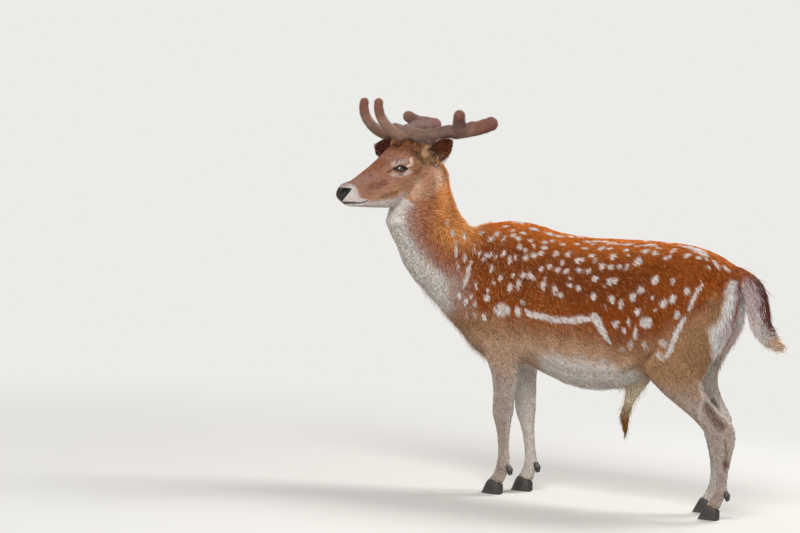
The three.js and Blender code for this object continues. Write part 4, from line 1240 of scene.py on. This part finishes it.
# Each growth: its name, where it grows, locks to the square metre, shortest and longest in mm, how steeply
# they stand, how far they droop, breadth in mm, and a way they all lean (none: with the coat).
growths = [
    ("tail_hair", on_tail & (fz > 0.48), 62000, 18, 36, 0.12, 0.10, 1.8, None),
    ("tail_wisps", on_tail & (fz > 0.52), 6000, 20, 40, 0.45, 0.10, 1.2, None),
    ("neck_hair", (fx < -0.26) & (high > 0.27) & (hz < -50) & (hx > -130),
     9000, 14, 25, 0.12, 0.0, 1.7, None),
    ("tail_brush", on_tail & (tail_way > 0.74) & (fx > 0.57),
     46000, 18, 40, 0.16, -0.22, 1.3, (0.95, 0.05, 0.05)),
    ("nape_hair", (fx < -0.25) & (high > 0.80) & (hz < -96), 36000, 15, 29, 0.40, 0.12, 1.5, None),
    ("brisket_hair", (fx < -0.22) & (high < 0.10) & (fz < 0.60), 16000, 16, 32, 0.35, 0.40, 1.5, None),
    ("thigh_hair", (fx > 0.44) & (fz > 0.43) & (fz < 0.68) & (facing_x > 0.35),
     26000, 15, 30, 0.30, 0.30, 1.6, None),
    ("belly_hair", (np.abs(fx - 0.13) < 0.14) & (high < 0.10) & (facing_z < -0.5),
     16000, 14, 24, 0.22, 0.10, 1.5, None),
    ("sheath_brush", (fx > 0.18) & (fx < 0.30) & amid & (fz < 0.30),
     100000, 16, 34, 0.14, 0.05, 1.2, (0.05, 0, -1)),
    ("sheath_fringe", (fx > 0.19) & (fx < 0.31) & amid & (fz > 0.26) & (fz < 0.37),
     16000, 16, 30, 0.55, 0.25, 1.0, (0.15, 0, -1)),
    ("gland_hair", (fx > 0.47) & (fz > 0.160) & (fz < 0.192) & (facing_x > 0.1),
     70000, 6, 11, 0.35, 0.0, 1.0, None),
    ("ear_tuft", tuft((-3, -51, -23), 14), 240000, 9, 17, 0.45, 0.0, 1.1, (0.35, -0.2, 0.6)),
    ("far_brow_tuft", tuft((-50, 20, 34), 10) | tuft((-44, -20, 36), 8), 60000, 9, 17, 0.6, 0.0, 1.0, None),
    ("ear_edge_hair", tuft((20, -70, -36), 17) | tuft((-10, 72, -26), 17),
     60000, 10, 20, 0.25, 0.0, 0.9, None),
]
for name, grows, density, shortest, longest, steep, droop, breadth, leans in growths:
    places, normals, maps = rooted(skin_faces, density * grows)
    count = len(places)
    ways = lie_of(places, normals)
    if leans is not None:
        ways += np.array(leans) * 1.2
        ways -= normals * np.einsum("ij,ij->i", ways, normals)[:, None] * 0.8
    ways = unit(ways + np.cross(normals, ways) * chance.normal(0, 0.22, count)[:, None])
    lengths = chance.uniform(shortest, longest, count) / 1000
    tints = coat_colour(places, normals) * chance.normal(1, 0.16, count)[:, None]
    if name in ("ear_tuft", "far_brow_tuft"):
        tints = mix(tints, "ear_tuft", chance.uniform(0.3, 1, count))
    if name == "neck_hair":
        pale = smooth_step(places[:, 2], 0.66, 0.80) * chance.random(count)
        tints = mix(tints, "throat_pale", 0.15 + 0.5 * pale)
    if name == "sheath_brush":
        tints = mix(tints, "sheath_tip", 0.8 * (chance.random(count) < 0.3))
    if name == "ear_edge_hair":
        tints = mix(tints, "ear_base", 0.7)
    rises = lengths * steep * chance.uniform(0.5, 1.3, count)
    spindles(name, places, normals, ways, maps,
             lengths, np.full(count, breadth / 1000), rises, tints, rings=3,
             droop=lengths * droop * chance.uniform(0.3, 1.4, count))

# Whiskers of the brows, lips and chin, each from its place and the way it points in the head's own frame.
whiskers = []
for hx, hy, hz, dx, dy, dz, length in [
    (-78, 46, 14, -0.3, 0.6, 0.9, 40), (-74, 47, 12, -0.5, 0.7, 0.7, 49), (-84, 44, 14, -0.5, 0.5, 0.8, 34),
    (-68, 48, 8, -0.1, 0.8, 0.8, 36), (-92, 42, 10, -0.7, 0.6, 0.5, 28),
    (-262, 6, -48, -0.5, 0.2, -0.8, 30), (-252, 8, -52, -0.3, 0.2, -0.9, 38),
    (-240, 6, -56, -0.2, 0.1, -1, 44), (-228, 8, -58, 0.0, 0.1, -1, 40), (-214, 5, -62, 0.1, 0.1, -1, 34),
    (-200, 8, -66, 0.2, 0.1, -1, 26), (-268, 12, -42, -0.7, 0.4, -0.6, 24),
    (-258, 20, -12, -0.5, 0.8, -0.3, 22), (-246, 22, -20, -0.3, 0.9, -0.4, 26),
]:
    for hand in (-1, 1):
        whiskers.append((hx, hand * hy, hz, dx, hand * dy, dz, length * chance.uniform(0.85, 1.1)))
whiskers = np.array(whiskers)
nearest = [surface.find_nearest(Vector(place)) for place in on_head(whiskers[:, :3])]
places = np.array([found[0] for found in nearest])
normals = np.array([found[1] for found in nearest])
maps = np.array([skin_faces[2][found[2]].mean(0) for found in nearest])
ways = along_surface(whiskers[:, 3:6] @ head_turn.T, normals, 0.6)
lengths = whiskers[:, 6] / 1000
tints = np.tile(colours["ear_rim"], (len(places), 1))
breadths = np.full(len(places), 0.0006)
spindles("whiskers", places, normals, ways, maps, lengths, breadths, lengths * 0.25, tints,
         rings=4, droop=lengths * 0.12)

# ---------------------------------------------------------------- antlers
# Growing antlers in velvet: warm, plush skin over bone that is still soft, with rounded club ends. Each is
# one casting over beam, tines and palm, filled out at the ends and in the fork, and stands on the brow.

antler_fill = {     # places in the head's own frame in mm, and how far the velvet reaches round them
    "left": [
        (178, -197, -24, 19.5), (160, -187, -21, 20), (132, -166, -12, 20.5), (115, -174, 46, 16),
        (108, -158, 22, 17), (104, -148, 4, 21), (-39, -52, 187, 12.5), (-50, -52, 168, 13),
        (8, -66, 38, 19.5), (36, -86, 24, 18), (28, -80, 13, 17),
    ],
    "right": [
        (147, 189, -42, 19.5), (130, 172, -28, 20.5), (107, 162, -4, 18), (96, 160, 12, 15.5),
        (85, 171, 33, 15.5), (118, 164, -12, 18), (-45, 52, 184, 12.5), (-57, 52, 165, 13),
        (8, 66, 38, 19.5), (36, 86, 24, 18), (28, 80, 13, 17),
    ],
}
antler_ends = (0, 1, 3, 6)      # the balls of antler_fill that stand at growing ends
plush_density = 190000          # hairs to the square metre
plush_length, plush_breadth = 0.0024, 0.0008
name_colours(velvet="#80604f", velvet_tip="#6c3c30", velvet_base="#503831", velvet_fuzz="#d6b8aa")

velvet = new_material("antler_velvet")
tint = add_node(velvet, "Attribute", {"attribute_name": "Coat"})
place = add_node(velvet, "TexCoord")
plush = add_node(velvet, "TexNoise", Vector=place.outputs["Object"], Scale=900.0, Detail=3.0)
veins = add_node(velvet, "TexNoise", Vector=place.outputs["Object"], Scale=55.0, Detail=4.0)
# The velvet is painted darker in the furrows of its veins and paler on their ridges: painted shade and light.
depth = add_node(velvet, "MapRange", Value=veins.outputs["Fac"], From__Min=0.35, From__Max=0.7,
                 To__Min=0.72, To__Max=1.12)
shade = add_node(velvet, "VectorMath", {"operation": "SCALE"}, _0=tint.outputs["Color"],
                 Scale=depth.outputs["Result"])
fuzz = add_node(velvet, "Bump", Strength=0.5, Distance=0.0008, Height=plush.outputs["Fac"])
furrows = add_node(velvet, "Bump", Strength=0.5, Distance=0.004, Height=veins.outputs["Fac"],
                   Normal=fuzz.outputs["Normal"])
finish = add_node(velvet, "BsdfPrincipled", Base__Color=shade.outputs["Vector"], Roughness=0.85,
                  Normal=furrows.outputs["Normal"], IOR=1.5, Sheen__Weight=0.15, Sheen__Roughness=0.35)
add_node(velvet, "OutputMaterial", Surface=finish.outputs[0])


def velvet_colour(places, hand):
    """Reddest at the growing ends, and grey-brown and grained along the beam where it leaves the brow."""
    local = in_head(places)
    out = -1 if hand == "left" else 1
    ends = np.min([np.linalg.norm(local - antler_fill[hand][k][:3], axis=1) for k in antler_ends], axis=0)
    colour = mix("velvet_tip", "velvet", smooth_step(ends, 16, 62))
    on_beam = stroke(local, [(-4, out * 52, 40), (60, out * 110, 20), (112, out * 150, 8)], 24, 24)
    grain = 0.5 + 0.5 * np.sin(local[:, 2] * 0.9 + local[:, 0] * 0.12 + 1.5 * np.sin(local[:, 0] * 0.06))
    return mix(colour, "velvet_base", on_beam * (0.45 + 0.4 * grain))


for hand in ("left", "right"):
    nodes = [f"antler_{hand}_{part}" for part in ("beam", "brow_tine", "palm", "front_point")]
    fill = [(on_head(ball[:3])[0], (ball[3] / 1000,) * 3) for ball in antler_fill[hand]]
    antler = cast(nodes, f"antler_{hand}", voxel=0.0026, swell=0.0006, balls=fill)
    soften(antler, rounds=14)
    smooth = antler.modifiers.new("plump", "SMOOTH")
    smooth.factor = 0.5
    smooth.iterations = 24
    pick(antler)
    bpy.ops.object.modifier_apply(modifier=smooth.name)
    lost = 0.0009           # what the smoothing took off
    set_points(antler, points_of(antler) + normals_of(antler) * lost)
    bpy.ops.object.shade_smooth()
    paint_points(antler, "Coat", velvet_colour(points_of(antler), hand))
    unwrap(antler)
    antler.data.materials.clear()
    antler.data.materials.append(velvet)
    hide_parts(*nodes)
    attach(antler, "root")

    # Plush: fine hairs that stand out from the velvet and catch the light along its edges. Their pale tint is
    # partly the plush's own colour and partly painted light for the bright edge.
    places, normals, maps = rooted(faces_of(antler), plush_density)
    count = len(places)
    up = on_head((-60, 0, 260))[0] - on_head((0, 0, 0))[0]
    ways = along_surface(up + chance.normal(0, 0.15, (count, 3)), normals)
    lengths = chance.uniform(0.7, 1.25, count) * plush_length
    tints = mix(velvet_colour(places, hand), "velvet_fuzz", 0.42) * chance.normal(1, 0.1, count)[:, None]
    spindles(f"velvet_hair_{hand}", places, normals, ways, maps, lengths * 0.75,
             np.full(count, plush_breadth), lengths * 0.8, tints)

# ---------------------------------------------------------------- eyes
# Large dark eyes set in the sockets, under the lids. Each is one ball with a clear bulge in front; the iris
# is deep brown with a level oblong pupil, and the ball is darker still round it.

name_colours(iris="#3b2519", eye_rim="#1a1210", pupil="#080707")
wet_eye = new_material("wet_eye")
tint = add_node(wet_eye, "Attribute", {"attribute_name": "Coat"})
place = add_node(wet_eye, "TexCoord")
threads = add_node(wet_eye, "TexNoise", Vector=place.outputs["Object"], Scale=1400.0, Detail=2.0)
film = add_node(wet_eye, "Bump", Strength=0.04, Distance=0.0002, Height=threads.outputs["Fac"])
finish = add_node(wet_eye, "BsdfPrincipled", Base__Color=tint.outputs["Color"], Roughness=0.12,
                  Normal=film.outputs["Normal"], IOR=1.38, Specular__IOR__Level=0.15, Coat__Weight=1.0,
                  Coat__Roughness=0.03)
add_node(wet_eye, "OutputMaterial", Surface=finish.outputs[0])

for hand, out in (("left", -1), ("right", 1)):
    bpy.ops.mesh.primitive_uv_sphere_add(segments=96, ring_count=64, radius=1)
    ball = bpy.context.object
    ball.name = f"eyeball_{hand}"
    bpy.ops.object.shade_smooth()
    looks = unit(np.array([-0.42, out * 0.90, 0.05]))
    level = unit(np.cross([0, 0, 1], looks))
    rising = np.cross(looks, level)
    across, upward, forward = points_of(ball).T
    off_axis = np.arccos(np.clip(forward, -1, 1))
    swell = eye_radius + 0.7 * np.exp(-(off_axis / 0.5) ** 2)
    set_points(ball, on_head(eye_at[hand] + points_of(ball) @ [level, rising, looks] * swell[:, None]))
    pupil = np.hypot(across / 0.36, upward / 0.17)
    shade = mix("iris", "eye_rim", smooth_step(off_axis, 0.55, 0.80))
    paint_points(ball, "Coat", mix("pupil", shade, smooth_step(pupil, 0.85, 1.1) * (forward > 0)))
    ball.data.materials.append(wet_eye)
    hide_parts(f"eye_{hand}")
    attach(ball, "root")

# ---------------------------------------------------------------- hooves
# Two pointed claws of dark horn on each foot, and two small dewclaws behind. The horn grows down in fine
# rings from the crown, and is worn paler along its lower edge.

horn = new_material("hoof_horn")
place = add_node(horn, "TexCoord")
rings = add_node(horn, "TexWave", {"wave_type": "BANDS", "bands_direction": "Z"},
                 Vector=place.outputs["Object"], Scale=95.0, Distortion=3.0, Detail=2.0, Detail__Scale=1.5)
grain = add_node(horn, "TexNoise", Vector=place.outputs["Object"], Scale=260.0, Detail=4.0)
split = add_node(horn, "SeparateXYZ", Vector=place.outputs["Object"])
worn = add_node(horn, "MapRange", Value=split.outputs["Z"], From__Min=0.001, From__Max=0.012,
                To__Min=0.75, To__Max=0.0)
dust = add_node(horn, "Math", {"operation": "MULTIPLY"}, _0=worn.outputs["Result"], _1=grain.outputs["Fac"])
tone = add_node(horn, "Mix", {"data_type": "RGBA"}, Factor=dust.outputs[0],
                _6=(*linear("#241d1a"), 1), _7=(*linear("#5d4f44"), 1))
ridge = add_node(horn, "Bump", Strength=0.35, Distance=0.0007, Height=rings.outputs["Fac"])
scuffs = add_node(horn, "Bump", Strength=0.25, Distance=0.0004, Height=grain.outputs["Fac"],
                  Normal=ridge.outputs["Normal"])
finish = add_node(horn, "BsdfPrincipled", Base__Color=tone.outputs[2], Roughness=0.42,
                  Normal=scuffs.outputs["Normal"], IOR=1.55)
add_node(horn, "OutputMaterial", Surface=finish.outputs[0])

toes = [f"{toe}_{leg}_{at}" for leg in legs for toe in ("claw", "dewclaw") for at in ("outer", "inner")]
for node in toes:
    claw = cast([node], f"horn_{node}", voxel=0.0016, swell=0.0)
    soften(claw, rounds=5)
    claw_points = points_of(claw)
    claw_points[:, 2] = np.maximum(claw_points[:, 2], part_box(node)[0].z)
    set_points(claw, claw_points)
    bpy.ops.object.shade_smooth()
    claw.data.materials.clear()
    claw.data.materials.append(horn)
    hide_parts(node)
    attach(claw, "root")
